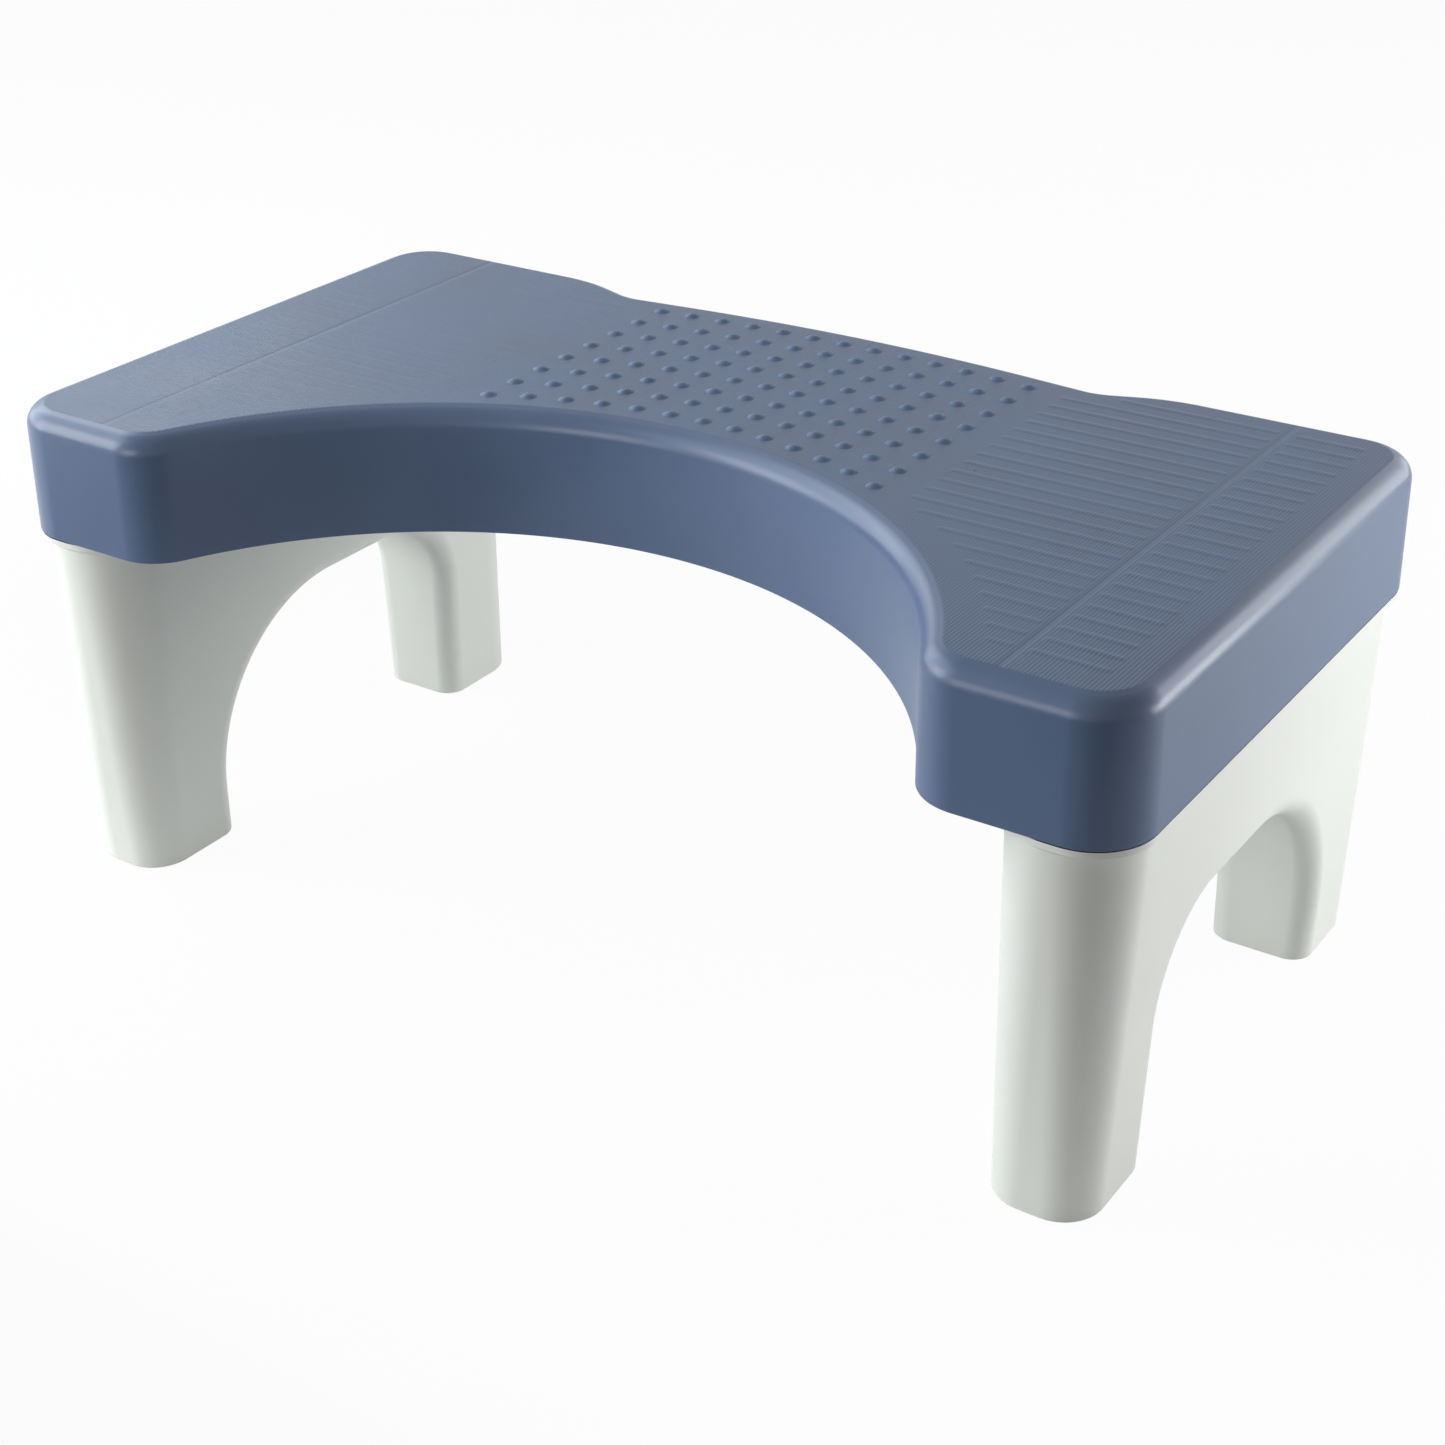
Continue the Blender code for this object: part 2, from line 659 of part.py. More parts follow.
def arched_block(name, group, rings, growth):
    """Loft a block, cut the arch through it and round the arch's edges."""
    block = place(loft(rings), name, group)
    prism = arch_prism(name + "_arch", bpy.data.collections[CUTTERS_NAME], growth)
    boolean(block, prism, "DIFFERENCE")
    freeze(block)
    soften_arch(block, ARCH_EDGE_RADIUS - growth)
    return block


def web_boxes(name, group):
    """Make the two webs that stiffen the frame over its arch."""
    corners = []
    low = ARCH_HEIGHT - ARCH_TIGHT_RADIUS
    for y in (-WEB_SPACING / 2, WEB_SPACING / 2):
        corners.append(((SHOULDER_INNER_X, y - WEB_WALL / 2, low),
                        (END, y + WEB_WALL / 2, ARCH_HEIGHT + WEB_HEIGHT)))
    return boxes(name, group, corners)


def tab_boxes(name, group):
    """Make the screw tabs on the inner side of the right frame's plug."""
    corners = []
    for x, y in screw_places():
        if x > 0:
            corners.append(((x - TAB_LIP, y - TAB_WIDTH / 2, TAB_Z),
                            (PLUG_INNER_X + FRAME_WALL / 2, y + TAB_WIDTH / 2, TAB_TOP_Z)))
    return boxes(name, group, corners)


def foot_outlines(inset):
    """Give the outlines of the right frame's front and back foot pads."""
    x_range = (FOOT_INNER_X + inset, FOOT_OUTER_X - inset)
    near = ARCH_HALF_WIDTH + inset
    far = FOOT_Y - inset
    end_radii = [FOOT_CORNER_RADIUS - inset] * 2
    arch_radii = [ARCH_EDGE_RADIUS - inset] * 2
    return {
        "front": rounded_rectangle(x_range, (-far, -near), end_radii + arch_radii,
                                   FRAME_CORNER_STEPS),
        "back": rounded_rectangle(x_range, (near, far), arch_radii + end_radii,
                                  FRAME_CORNER_STEPS),
    }


def pad_recess(name, group):
    """Make the cutters for the pads' recesses in the right frame's soles."""
    tool = bmesh.new()
    for outline in foot_outlines(PAD_INSET - GAP).values():
        add_slab(tool, outline, -OVERRUN, PAD_THICKNESS + GAP)
    return place(tool, name, group)


def turned_copy(thing, name, group):
    """Use an object's mesh again, turned half round to the other end of the stool."""
    copy = bpy.data.objects.new(name, thing.data)
    copy.rotation_euler.z = math.pi
    group.objects.link(copy)
    return copy


def leg_frames(parts, cutters, material):
    """Model the right leg frame and use it again, turned, on the left."""
    frame = arched_block("leg_frame_right", parts, outer_rings(), 0)
    hollow = arched_block("frame_hollow", cutters,
                          inner_rings(FRAME_WALL, FOOT_Z + SOLE, RIM_Z + OVERRUN),
                          FRAME_WALL)
    middle = arched_block("frame_middle", cutters,
                          inner_rings(FRAME_WALL / 2, FOOT_Z + SOLE / 2,
                                      RIM_Z - FRAME_WALL), FRAME_WALL / 2)
    webs = web_boxes("frame_webs", cutters)
    boolean(webs, middle, "INTERSECT")
    boolean(frame, hollow, "DIFFERENCE")
    boolean(frame, webs, "UNION")
    boolean(frame, tab_boxes("frame_tabs", cutters), "UNION")
    holes = screw_holes("tab_holes", cutters, TAB_Z - OVERRUN, BOSS_Z)
    boolean(frame, holes, "DIFFERENCE")
    boolean(frame, pad_recess("pad_recesses", cutters), "DIFFERENCE")
    freeze(frame)
    frame.data.materials.clear()
    frame.data.materials.append(material)
    turned_copy(frame, "leg_frame_left", parts)


def foot_pads(parts, material):
    """Model the four anti-slip pads set into the soles."""
    opposite = {"front": "back", "back": "front"}
    for end, outline in foot_outlines(PAD_INSET).items():
        tool = bmesh.new()
        add_slab(tool, outline, 0, PAD_THICKNESS)
        pad = place(tool, f"foot_pad_{end}_right", parts)
        pad.data.materials.append(material)
        turned_copy(pad, f"foot_pad_{opposite[end]}_left", parts)


def screw_profile():
    """Give half the outline of a screw that points up, from head to tip."""
    head_z = TAB_Z - GAP
    top_z = head_z - SCREW_HEAD_HEIGHT
    tip_z = head_z + SCREW_LENGTH
    return [
        (0, top_z),
        (SCREW_HEAD_RADIUS - SCREW_HEAD_EDGE, top_z),
        (SCREW_HEAD_RADIUS, top_z + SCREW_HEAD_EDGE),
        (SCREW_HEAD_RADIUS, head_z),
        (SCREW_SHANK_RADIUS, head_z),
        (SCREW_SHANK_RADIUS, tip_z - SCREW_TIP),
        (0, tip_z),
    ]


def screws(parts, material):
    """Model the six screws that hold the leg frames up into the top."""
    names = [f"leg_screw_{side}_{place_name}"
             for side in ("right", "left")
             for place_name in ("front", "middle", "back")]
    for name, (x, y) in zip(names, screw_places()):
        tool = bmesh.new()
        verts = [tool.verts.new((r, 0, z)) for r, z in screw_profile()]
        edges = [tool.edges.new(pair) for pair in zip(verts, verts[1:])]
        bmesh.ops.spin(tool, geom=verts + edges, cent=(0, 0, 0), axis=(0, 0, 1),
                       angle=2 * math.pi, steps=SCREW_SIDES, use_merge=True)
        bmesh.ops.remove_doubles(tool, verts=tool.verts, dist=MERGE_DISTANCE)
        bmesh.ops.translate(tool, verts=tool.verts, vec=(x, y, 0))
        screw = place(tool, name, parts)
        screw.data.materials.append(material)


def shade(group):
    """Shade the round faces smooth and keep the hard edges."""
    for thing in group.objects:
        thing.data.shade_smooth()
        thing.data.set_sharp_from_angle(angle=SHARP_ANGLE)


def main():
    """Build the whole stool."""
    clear_scene()
    parts = new_collection(PARTS_NAME)
    cutters = new_collection(CUTTERS_NAME)
    navy = plain_material("navy_plastic", NAVY, NAVY_ROUGHNESS, PLASTIC_METALLIC)
    white = plain_material("white_plastic", WHITE, WHITE_ROUGHNESS, PLASTIC_METALLIC)
    rubber = plain_material("pad_rubber", PAD_GREY, PAD_ROUGHNESS, PLASTIC_METALLIC)
    zinc = plain_material("zinc_steel", ZINC, ZINC_ROUGHNESS, ZINC_METALLIC)
    top_shell(parts, cutters, navy)
    leg_frames(parts, cutters, white)
    foot_pads(parts, rubber)
    screws(parts, zinc)
    shade(parts)


main()
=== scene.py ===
"""Looks of a low two-tone bathroom footstool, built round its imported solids.

Every size is in metres in the part's own frame: +X runs along the stool, the bay
opens towards -Y and the floor lies at z = 0.
"""

import logging
import math
from dataclasses import dataclass, field, replace
from enum import Enum
from typing import Iterable

import bmesh
import bpy
from mathutils import Matrix, Vector


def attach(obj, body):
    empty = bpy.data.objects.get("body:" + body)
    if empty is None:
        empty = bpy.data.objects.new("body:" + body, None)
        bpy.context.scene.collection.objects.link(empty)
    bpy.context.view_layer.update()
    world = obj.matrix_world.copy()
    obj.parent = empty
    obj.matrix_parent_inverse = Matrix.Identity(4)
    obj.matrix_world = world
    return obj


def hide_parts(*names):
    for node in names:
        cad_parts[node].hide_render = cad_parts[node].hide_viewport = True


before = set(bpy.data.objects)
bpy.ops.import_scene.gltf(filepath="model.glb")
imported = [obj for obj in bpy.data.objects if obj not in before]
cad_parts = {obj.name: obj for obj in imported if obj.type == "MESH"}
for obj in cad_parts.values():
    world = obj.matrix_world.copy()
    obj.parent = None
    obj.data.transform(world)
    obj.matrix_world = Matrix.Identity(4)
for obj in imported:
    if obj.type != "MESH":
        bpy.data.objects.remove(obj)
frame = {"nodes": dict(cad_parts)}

LOG = logging.getLogger("footstool")
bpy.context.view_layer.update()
BODY = "root"
QUARTER, TURN = math.pi / 2, 2 * math.pi
UP = (0, 0, 1)
FIT = 0.0003
WELD = 0.000002
EDGE_STEPS = 2
SHARP_ANGLE = math.radians(32)
NOISE_SPAN = (0.3, 0.7)

BMesh, Vert = bmesh.types.BMesh, bmesh.types.BMVert
Edge, Face = bmesh.types.BMEdge, bmesh.types.BMFace
Object, Material = bpy.types.Object, bpy.types.Material
Node, Socket, Tree = bpy.types.Node, bpy.types.NodeSocket, bpy.types.NodeTree
Pair, Triple = tuple[float, float], tuple[float, float, float]


class Slot(Enum):
    """The record's material slots."""

    NAVY = "navy_plastic"
    WHITE = "white_plastic"
    RUBBER = "pad_rubber"
    ZINC = "zinc_steel"


class Side(Enum):
    """The two ends of the stool, by the sign of X."""

    RIGHT = 1
    LEFT = -1

    @property
    def word(self) -> str:
        """The end's name, as the nodes spell it."""
        return self.name.lower()

    @property
    def turn(self) -> Matrix:
        """The half turn that brings the right end's shapes to the left end, or none."""
        return Matrix.Rotation(0 if self is Side.RIGHT else math.pi, 4, "Z")


@dataclass(frozen=True)
class Arc:
    """One round stretch of an outline."""

    centre: Vector
    radius: float
    start: float
    turn: float
    steps: int

    @property
    def first(self) -> Vector:
        """Where the arc begins."""
        return self.centre + self.radius * Vector((math.cos(self.start), math.sin(self.start)))

    def inset(self, distance: float) -> "Arc":
        """Move the arc inwards on an outline drawn anticlockwise: bulges shrink, dips grow."""
        return replace(self, radius=self.radius - math.copysign(distance, self.turn))

    @classmethod
    def rounding(cls, before: Vector, corner: Vector, after: Vector,
                 radius: float, steps: int) -> "Arc":
        """Find the arc that rounds a corner between two straight runs.

        Args:
            before: A point on the run that comes in.
            corner: The sharp corner.
            after: A point on the run that goes out.
            radius: The rounding's radius.
            steps: How many edges the arc gets.

        Returns:
            The arc, from the first run to the second.
        """
        back = (before - corner).normalized()
        ahead = (after - corner).normalized()
        half = back.angle(ahead) / 2
        centre = corner + (back + ahead).normalized() * (radius / math.sin(half))
        start = corner + back * (radius / math.tan(half)) - centre
        stop = corner + ahead * (radius / math.tan(half)) - centre
        turn = math.atan2(start.x * stop.y - start.y * stop.x, start.dot(stop))
        return cls(centre, radius, math.atan2(start.y, start.x), turn, steps)


def corner_arcs(xs: Pair, ys: Pair, radii: Iterable[float], steps: int) -> list[Arc]:
    """List a rectangle's rounded corners, anticlockwise from low x and low y.

    Args:
        xs: Its low and high x.
        ys: Its low and high y.
        radii: The four corners' radii.
        steps: How many edges each corner gets.

    Returns:
        The four arcs.
    """
    (left, right), (low, high) = xs, ys
    spots = ((left, low, 1, 1), (right, low, -1, 1), (right, high, -1, -1), (left, high, 1, -1))
    return [Arc(Vector((x + to_x * radius, y + to_y * radius)), radius, (index + 2) * QUARTER,
                QUARTER, steps)
            for index, ((x, y, to_x, to_y), radius) in enumerate(zip(spots, radii))]


class Nodes:
    """Short calls for wiring a node tree."""

    def __init__(self, tree: Tree) -> None:
        """Take a material's or a group's tree to wire."""
        self.tree = tree

    def add(self, kind: str, inputs: dict | None = None, **settings: object) -> Node:
        """Add a node, set its properties and feed its inputs.

        Args:
            kind: The node's type name.
            inputs: Input names or numbers, each with a socket or a value.
            settings: Property names and values.

        Returns:
            The new node.
        """
        node = self.tree.nodes.new(kind)
        for name, value in settings.items():
            setattr(node, name, value)
        self.feed(node, inputs or {})
        return node

    def feed(self, node: Node, inputs: dict) -> None:
        """Link or set some inputs of a node.

        Args:
            node: The node.
            inputs: Input names or numbers, each with a socket or a value.
        """
        for key, value in inputs.items():
            if isinstance(value, Socket):
                self.link(value, node.inputs[key])
            else:
                node.inputs[key].default_value = value

    def link(self, source: Socket, target: Socket) -> None:
        """Join an output to an input."""
        self.tree.links.new(source, target)

    def math(self, operation: str, first: object, second: object = 0.0) -> Socket:
        """Add one step of arithmetic on sockets or numbers."""
        return self.add("ShaderNodeMath", {0: first, 1: second}, operation=operation).outputs[0]

    def noise(self, place: Socket, scale: object, detail: float) -> Socket:
        """Add a noise, its scale in waves for each metre, and give its value."""
        inputs = {"Vector": place, "Scale": scale, "Detail": detail}
        return self.add("ShaderNodeTexNoise", inputs).outputs["Fac"]

    def x_of(self, place: Socket) -> Socket:
        """Give the X of a place."""
        return self.add("ShaderNodeSeparateXYZ", {0: place}).outputs["X"]

    def spread(self, value: Socket, low: float, high: float, span: Pair = NOISE_SPAN) -> Socket:
        """Turn a span of a value softly into low to high, and hold it outside the span."""
        inputs = {"Value": value, "From Min": span[0], "From Max": span[1],
                  "To Min": low, "To Max": high}
        return self.add("ShaderNodeMapRange", inputs, interpolation_type="SMOOTHSTEP").outputs[0]

    def between(self, share: Socket, low: float, high: float) -> Socket:
        """Turn a share of 0 to 1 into a value from low to high."""
        return self.math("ADD", self.math("MULTIPLY", share, high - low), low)

    def blend(self, share: Socket, first: Triple, second: Triple) -> Socket:
        """Mix two linear colours, by the second one's share."""
        inputs = {"Factor": share, 6: (*first, 1), 7: (*second, 1)}
        return self.add("ShaderNodeMix", inputs, data_type="RGBA").outputs[2]


def new_material(name: str) -> tuple[Material, Nodes, Node]:
    """Start a material.

    Args:
        name: Its name.

    Returns:
        The material, its wiring and its surface shader.
    """
    made = bpy.data.materials.new(name)
    made.use_nodes = True
    return made, Nodes(made.node_tree), made.node_tree.nodes["Principled BSDF"]


class SurfaceEffects:
    """The node groups that the finishes share."""

    fine_detail = 3.0
    coarse_detail = 2.0
    mottle_detail = 1.5
    coarser = 0.22
    coarse_share = 0.6
    rib_unevenness = (0.75, 1.0)
    unevenness_scale = 60.0
    crease_reach = 0.0019

    def __init__(self) -> None:
        """Build each group once."""
        self.grain = self._grain()
        self.fine_ribs = self._fine_ribs()
        self.crease = self._crease()

    @staticmethod
    def _new(name: str, sizes: tuple[str, ...], *values: str) -> tuple:
        """Start a group that takes a place and some sizes.

        Args:
            name: The group's name.
            sizes: The names of the sizes.
            values: The names of the values that it puts out.

        Returns:
            The group, its wiring, its input sockets and its output sockets.
        """
        group = bpy.data.node_groups.new(name, "ShaderNodeTree")
        sockets = [("Place", "INPUT", "Vector"), *((size, "INPUT", "Float") for size in sizes),
                   *((value, "OUTPUT", "Float") for value in values)]
        for label, way, kind in sockets:
            group.interface.new_socket(label, in_out=way, socket_type=f"NodeSocket{kind}")
        wires = Nodes(group)
        given = wires.add("NodeGroupInput").outputs
        return group, wires, given, wires.add("NodeGroupOutput").inputs

    def _grain(self) -> Tree:
        """Make the fine spark-eroded grain of a moulded face and its slow mottling.

        Returns:
            The group.
        """
        group, wires, given, found = self._new(
            "moulded grain", ("Grain Scale", "Mottle Scale"), "Height", "Mottle")
        place, scale, mottle_scale, _ = given
        fine = wires.noise(place, scale, self.fine_detail)
        coarse_scale = wires.math("MULTIPLY", scale, self.coarser)
        coarse = wires.noise(place, coarse_scale, self.coarse_detail)
        weighted = wires.math("MULTIPLY", coarse, self.coarse_share)
        wires.link(wires.math("ADD", fine, weighted), found["Height"])
        slow = wires.noise(place, mottle_scale, self.mottle_detail)
        wires.link(wires.spread(slow, 0.0, 1.0), found["Mottle"])
        return group

    def _fine_ribs(self) -> Tree:
        """Make fine ribs that run along Y, a little uneven as cut in the mould.

        Returns:
            The group.
        """
        group, wires, (place, pitch, _), found = self._new("fine ribs", ("Pitch",), "Height")
        turns = wires.math("DIVIDE", wires.x_of(place), pitch)
        wave = wires.math("SINE", wires.math("MULTIPLY", turns, TURN))
        noise = wires.noise(place, self.unevenness_scale, self.coarse_detail)
        uneven = wires.spread(noise, *self.rib_unevenness)
        wires.link(wires.math("MULTIPLY", wave, uneven), found["Height"])
        return group

    def _crease(self) -> Tree:
        """Make a soft crease along Y on each side, at a distance from the middle.

        Returns:
            The group.
        """
        group, wires, (place, middle, _), found = self._new(
            "soft crease", ("Distance",), "Height")
        across = wires.math("ABSOLUTE", wires.x_of(place))
        away = wires.math("ABSOLUTE", wires.math("SUBTRACT", across, middle))
        wires.link(wires.spread(away, 1.0, 0.0, (0.0, self.crease_reach)), found["Height"])
        return group


@dataclass(frozen=True)
class Finish:
    """A surface with a fine grain and slow mottling, and ribs and a crease if it has them."""

    slot: Slot
    name: str
    deep: Triple
    pale: Triple
    rough: Pair
    grain_scale: float
    grain_depth: float
    mottle_scale: float
    specular: float = 0.5
    metallic: float = 0.0
    rib_pitch: float = 0.0
    rib_depth: float = 0.0
    crease_x: float = 0.0
    crease_depth: float = 0.0

    def material(self, effects: SurfaceEffects) -> Material:
        """Wire the finish's material.

        Args:
            effects: The shared node groups.

        Returns:
            The material.
        """
        made, wires, shader = new_material(self.name)
        place = wires.add("ShaderNodeTexCoord").outputs["Object"]
        scales = {"Place": place, "Grain Scale": self.grain_scale,
                  "Mottle Scale": self.mottle_scale}
        grain = wires.add("ShaderNodeGroup", scales, node_tree=effects.grain)
        mottle = grain.outputs["Mottle"]
        height = wires.math("MULTIPLY", grain.outputs["Height"], self.grain_depth)
        reliefs = ((effects.fine_ribs, "Pitch", self.rib_pitch, self.rib_depth),
                   (effects.crease, "Distance", self.crease_x, -self.crease_depth))
        for group, label, size, depth in reliefs:
            if size:
                form = wires.add("ShaderNodeGroup", {"Place": place, label: size},
                                 node_tree=group)
                raised = wires.math("MULTIPLY", form.outputs["Height"], depth)
                height = wires.math("ADD", height, raised)
        bump = wires.add("ShaderNodeBump", {"Strength": 1.0, "Distance": 1.0, "Height": height})
        wires.feed(shader, {
            "Base Color": wires.blend(mottle, self.deep, self.pale),
            "Roughness": wires.between(mottle, *self.rough),
            "Specular IOR Level": self.specular,
            "Metallic": self.metallic,
            "Normal": bump.outputs["Normal"]})
        return made


NAVY = Finish(Slot.NAVY, "navy_plastic", (0.098, 0.146, 0.250), (0.110, 0.161, 0.272),
              (0.285, 0.345), 1500.0, 0.000010, 15.0, 0.35)
NAVY_MATT = Finish(Slot.NAVY, "navy_matt", (0.096, 0.144, 0.241), (0.119, 0.171, 0.275),
                   (0.46, 0.54), 1500.0, 0.000014, 21.0, 0.28)
NAVY_RIBBED = replace(NAVY_MATT, name="navy_fine_ribs", rough=(0.36, 0.44), rib_pitch=0.0012,
                      rib_depth=0.000030, crease_x=0.1668, crease_depth=0.00014)
WHITE = Finish(Slot.WHITE, "white_plastic", (0.720, 0.745, 0.700), (0.755, 0.780, 0.735),
               (0.38, 0.46), 1300.0, 0.000010, 8.0)
RUBBER = Finish(Slot.RUBBER, "pad_rubber", (0.060, 0.062, 0.062), (0.080, 0.082, 0.082),
                (0.72, 0.84), 900.0, 0.00003, 30.0)
ZINC = Finish(Slot.ZINC, "zinc_plate", (0.62, 0.62, 0.60), (0.50, 0.51, 0.50),
              (0.26, 0.42), 2600.0, 0.00001, 420.0, metallic=1.0)


class Maker:
    """Turns shaped bmeshes into pieces that ride on the stool."""

    def __init__(self) -> None:
        """Start with no pieces and no materials."""
        self.made: list[Object] = []
        self.effects = SurfaceEffects()
        self.materials: dict[Finish, Material] = {}

    def dress(self, thing: Object, *finishes: Finish, replaced: Iterable[str] = ()) -> None:
        """Shade a piece, give it its finishes and let it ride.

        Args:
            thing: The piece.
            finishes: Its finishes, in the order of the faces' indices.
            replaced: The nodes that the piece stands for.
        """
        for finish in finishes:
            if finish not in self.materials:
                self.materials[finish] = finish.material(self.effects)
            thing.data.materials.append(self.materials[finish])
        thing.data.shade_smooth()
        thing.data.set_sharp_from_angle(angle=SHARP_ANGLE)
        even = thing.modifiers.new("even_shading", "WEIGHTED_NORMAL")
        even.keep_sharp = True
        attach(thing, BODY)
        if replaced:
            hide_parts(*replaced)
        self.made.append(thing)
        LOG.info("%s: %d faces", thing.name, len(thing.data.polygons))

    def piece(self, tool: BMesh, name: str, finish: Finish, replaced: Iterable[str] = ()) -> None:
        """Make and dress a piece of one finish."""
        self.dress(bare(tool, name), finish, replaced=replaced)


def only(kind: type, items: Iterable) -> list:
    """Pick the items of one kind."""
    return [item for item in items if isinstance(item, kind)]


def edges_within(tool: BMesh, low: float, high: float) -> list[Edge]:
    """List the edges whose ends both lie between two levels."""
    return [e for e in tool.edges if all(low < v.co.z < high for v in e.verts)]


def draw(tool: BMesh, stops: list[Vector | Arc], height: float = 0.0) -> list[Vert]:
    """Draw a level line through points and arcs, one operator for each run and arc.

    Args:
        tool: An empty bmesh.
        stops: The points and arcs, in order.
        height: The level that the line lies on.

    Returns:
        The line's first and last vertex.
    """
    ends: list[Vert] = []
    for stop in stops:
        is_arc = isinstance(stop, Arc)
        place = Vector((*(stop.first if is_arc else stop), height))
        if not ends:
            ends = bmesh.ops.create_vert(tool, co=place)["vert"] * 2
        elif (ends[1].co - place).length >= WELD:
            ends[1] = bmesh.ops.extrude_vert_indiv(tool, verts=ends[1:])["verts"][0]
            ends[1].co = place
        if is_arc:
            made = bmesh.ops.spin(tool, geom=ends[1:], cent=(*stop.centre, height), axis=UP,
                                  angle=stop.turn, steps=stop.steps, use_duplicate=False)
            ends[1] = only(Vert, made["geom_last"])[0]
    return ends


def fill(tool: BMesh, stops: list[Vector | Arc], height: float = 0.0) -> None:
    """Draw a closed outline through points and arcs in an empty bmesh, and fill it."""
    bmesh.ops.contextual_create(tool, geom=draw(tool, stops, height))
    bmesh.ops.contextual_create(tool, geom=tool.edges[:])


def raise_by(tool: BMesh, height: float) -> list[Vert]:
    """Extrude a flat outline upwards.

    Args:
        tool: The bmesh that holds the outline.
        height: How far it rises.

    Returns:
        The raised vertices.
    """
    raised = only(Vert, bmesh.ops.extrude_face_region(tool, geom=tool.faces[:])["geom"])
    bmesh.ops.translate(tool, verts=raised, vec=(0, 0, height))
    return raised


def round_edges(tool: BMesh, edges: list[Edge], radius: float, steps: int) -> None:
    """Round some edges, each with as many strips as there are steps."""
    bmesh.ops.bevel(tool, geom=edges, offset=radius, segments=steps, profile=0.5,
                    affect="EDGES", clamp_overlap=False, material=-1)


def block(tool: BMesh, low: Vector, high: Vector) -> list[Vert]:
    """Add a block between its lowest and highest corners and give its vertices."""
    matrix = Matrix.Translation((low + high) / 2) @ Matrix.Diagonal((*(high - low), 1))
    return bmesh.ops.create_cube(tool, size=1, matrix=matrix)["verts"]


def chain(tool: BMesh, points: Iterable[Vector]) -> list[Edge]:
    """Draw an open line through points.

    Args:
        tool: The bmesh.
        points: The points, in order.

    Returns:
        The line's edges.
    """
    first, *others = points
    tip = bmesh.ops.create_vert(tool, co=first)["vert"]
    edges = []
    for point in others:
        made = bmesh.ops.extrude_vert_indiv(tool, verts=tip)
        tip = made["verts"]
        tip[0].co = point
        edges += made["edges"]
    return edges


def spin(tool: BMesh, edges: list[Edge], centre: Vector, angle: float, steps: int,
         **options: bool) -> list:
    """Turn a section about an upright axis and give what it ends as."""
    verts = list(dict.fromkeys(vert for edge in edges for vert in edge.verts))
    return bmesh.ops.spin(tool, geom=edges + verts, cent=centre, axis=UP, angle=angle,
                          steps=steps, **options)["geom_last"]


def mirror_x(tool: BMesh, merge: float = 0.0) -> None:
    """Add the mirror image across X, joined where both lie nearer than merge."""
    bmesh.ops.mirror(tool, geom=tool.verts[:] + tool.edges[:] + tool.faces[:], axis="X",
                     merge_dist=merge)


def stand_up(tool: BMesh, x: float) -> None:
    """Turn a flat shape up, its X to Y and its Y to Z, and set it at an x."""
    upright = Matrix(((0, 0, 1, x), (1, 0, 0, 0), (0, 1, 0, 0), (0, 0, 0, 1)))
    bmesh.ops.transform(tool, matrix=upright, verts=tool.verts)


def reopened(thing: Object) -> BMesh:
    """Open a copy of a thing's mesh for shaping.

    Args:
        thing: The thing, which stays as it is.

    Returns:
        The copy's bmesh.
    """
    tool = bmesh.new()
    tool.from_mesh(thing.data)
    return tool


def thing_of(name: str, data: bpy.types.ID) -> Object:
    """Put a new object into the scene.

    Args:
        name: Its name.
        data: Its mesh, lamp or camera data.

    Returns:
        The object.
    """
    thing = bpy.data.objects.new(name, data)
    bpy.context.scene.collection.objects.link(thing)
    return thing


def bare(tool: BMesh, name: str) -> Object:
    """Give a bmesh an object of its own at the origin, its faces turned outwards.

    Args:
        tool: The shaped bmesh, which is freed.
        name: The object's name.

    Returns:
        The new object.
    """
    bmesh.ops.recalc_face_normals(tool, faces=tool.faces)
    mesh = bpy.data.meshes.new(name)
    tool.to_mesh(mesh)
    tool.free()
    return thing_of(name, mesh)


def carve(target: Object, cutter: Object, operation: str = "DIFFERENCE") -> None:
    """Cut one mesh by another and throw the cutter away.

    Args:
        target: The object that is cut.
        cutter: The object that cuts.
        operation: DIFFERENCE takes the cutter away, INTERSECT keeps what it holds.
    """
    cut = target.modifiers.new("cut", "BOOLEAN")
    cut.object = cutter
    cut.operation = operation
    cut.solver = "EXACT"
    graph = bpy.context.evaluated_depsgraph_get()
    graph.update()
    mesh = bpy.data.meshes.new_from_object(target.evaluated_get(graph))
    target.modifiers.clear()
    target.data = mesh
    bpy.data.objects.remove(cutter, do_unlink=True)


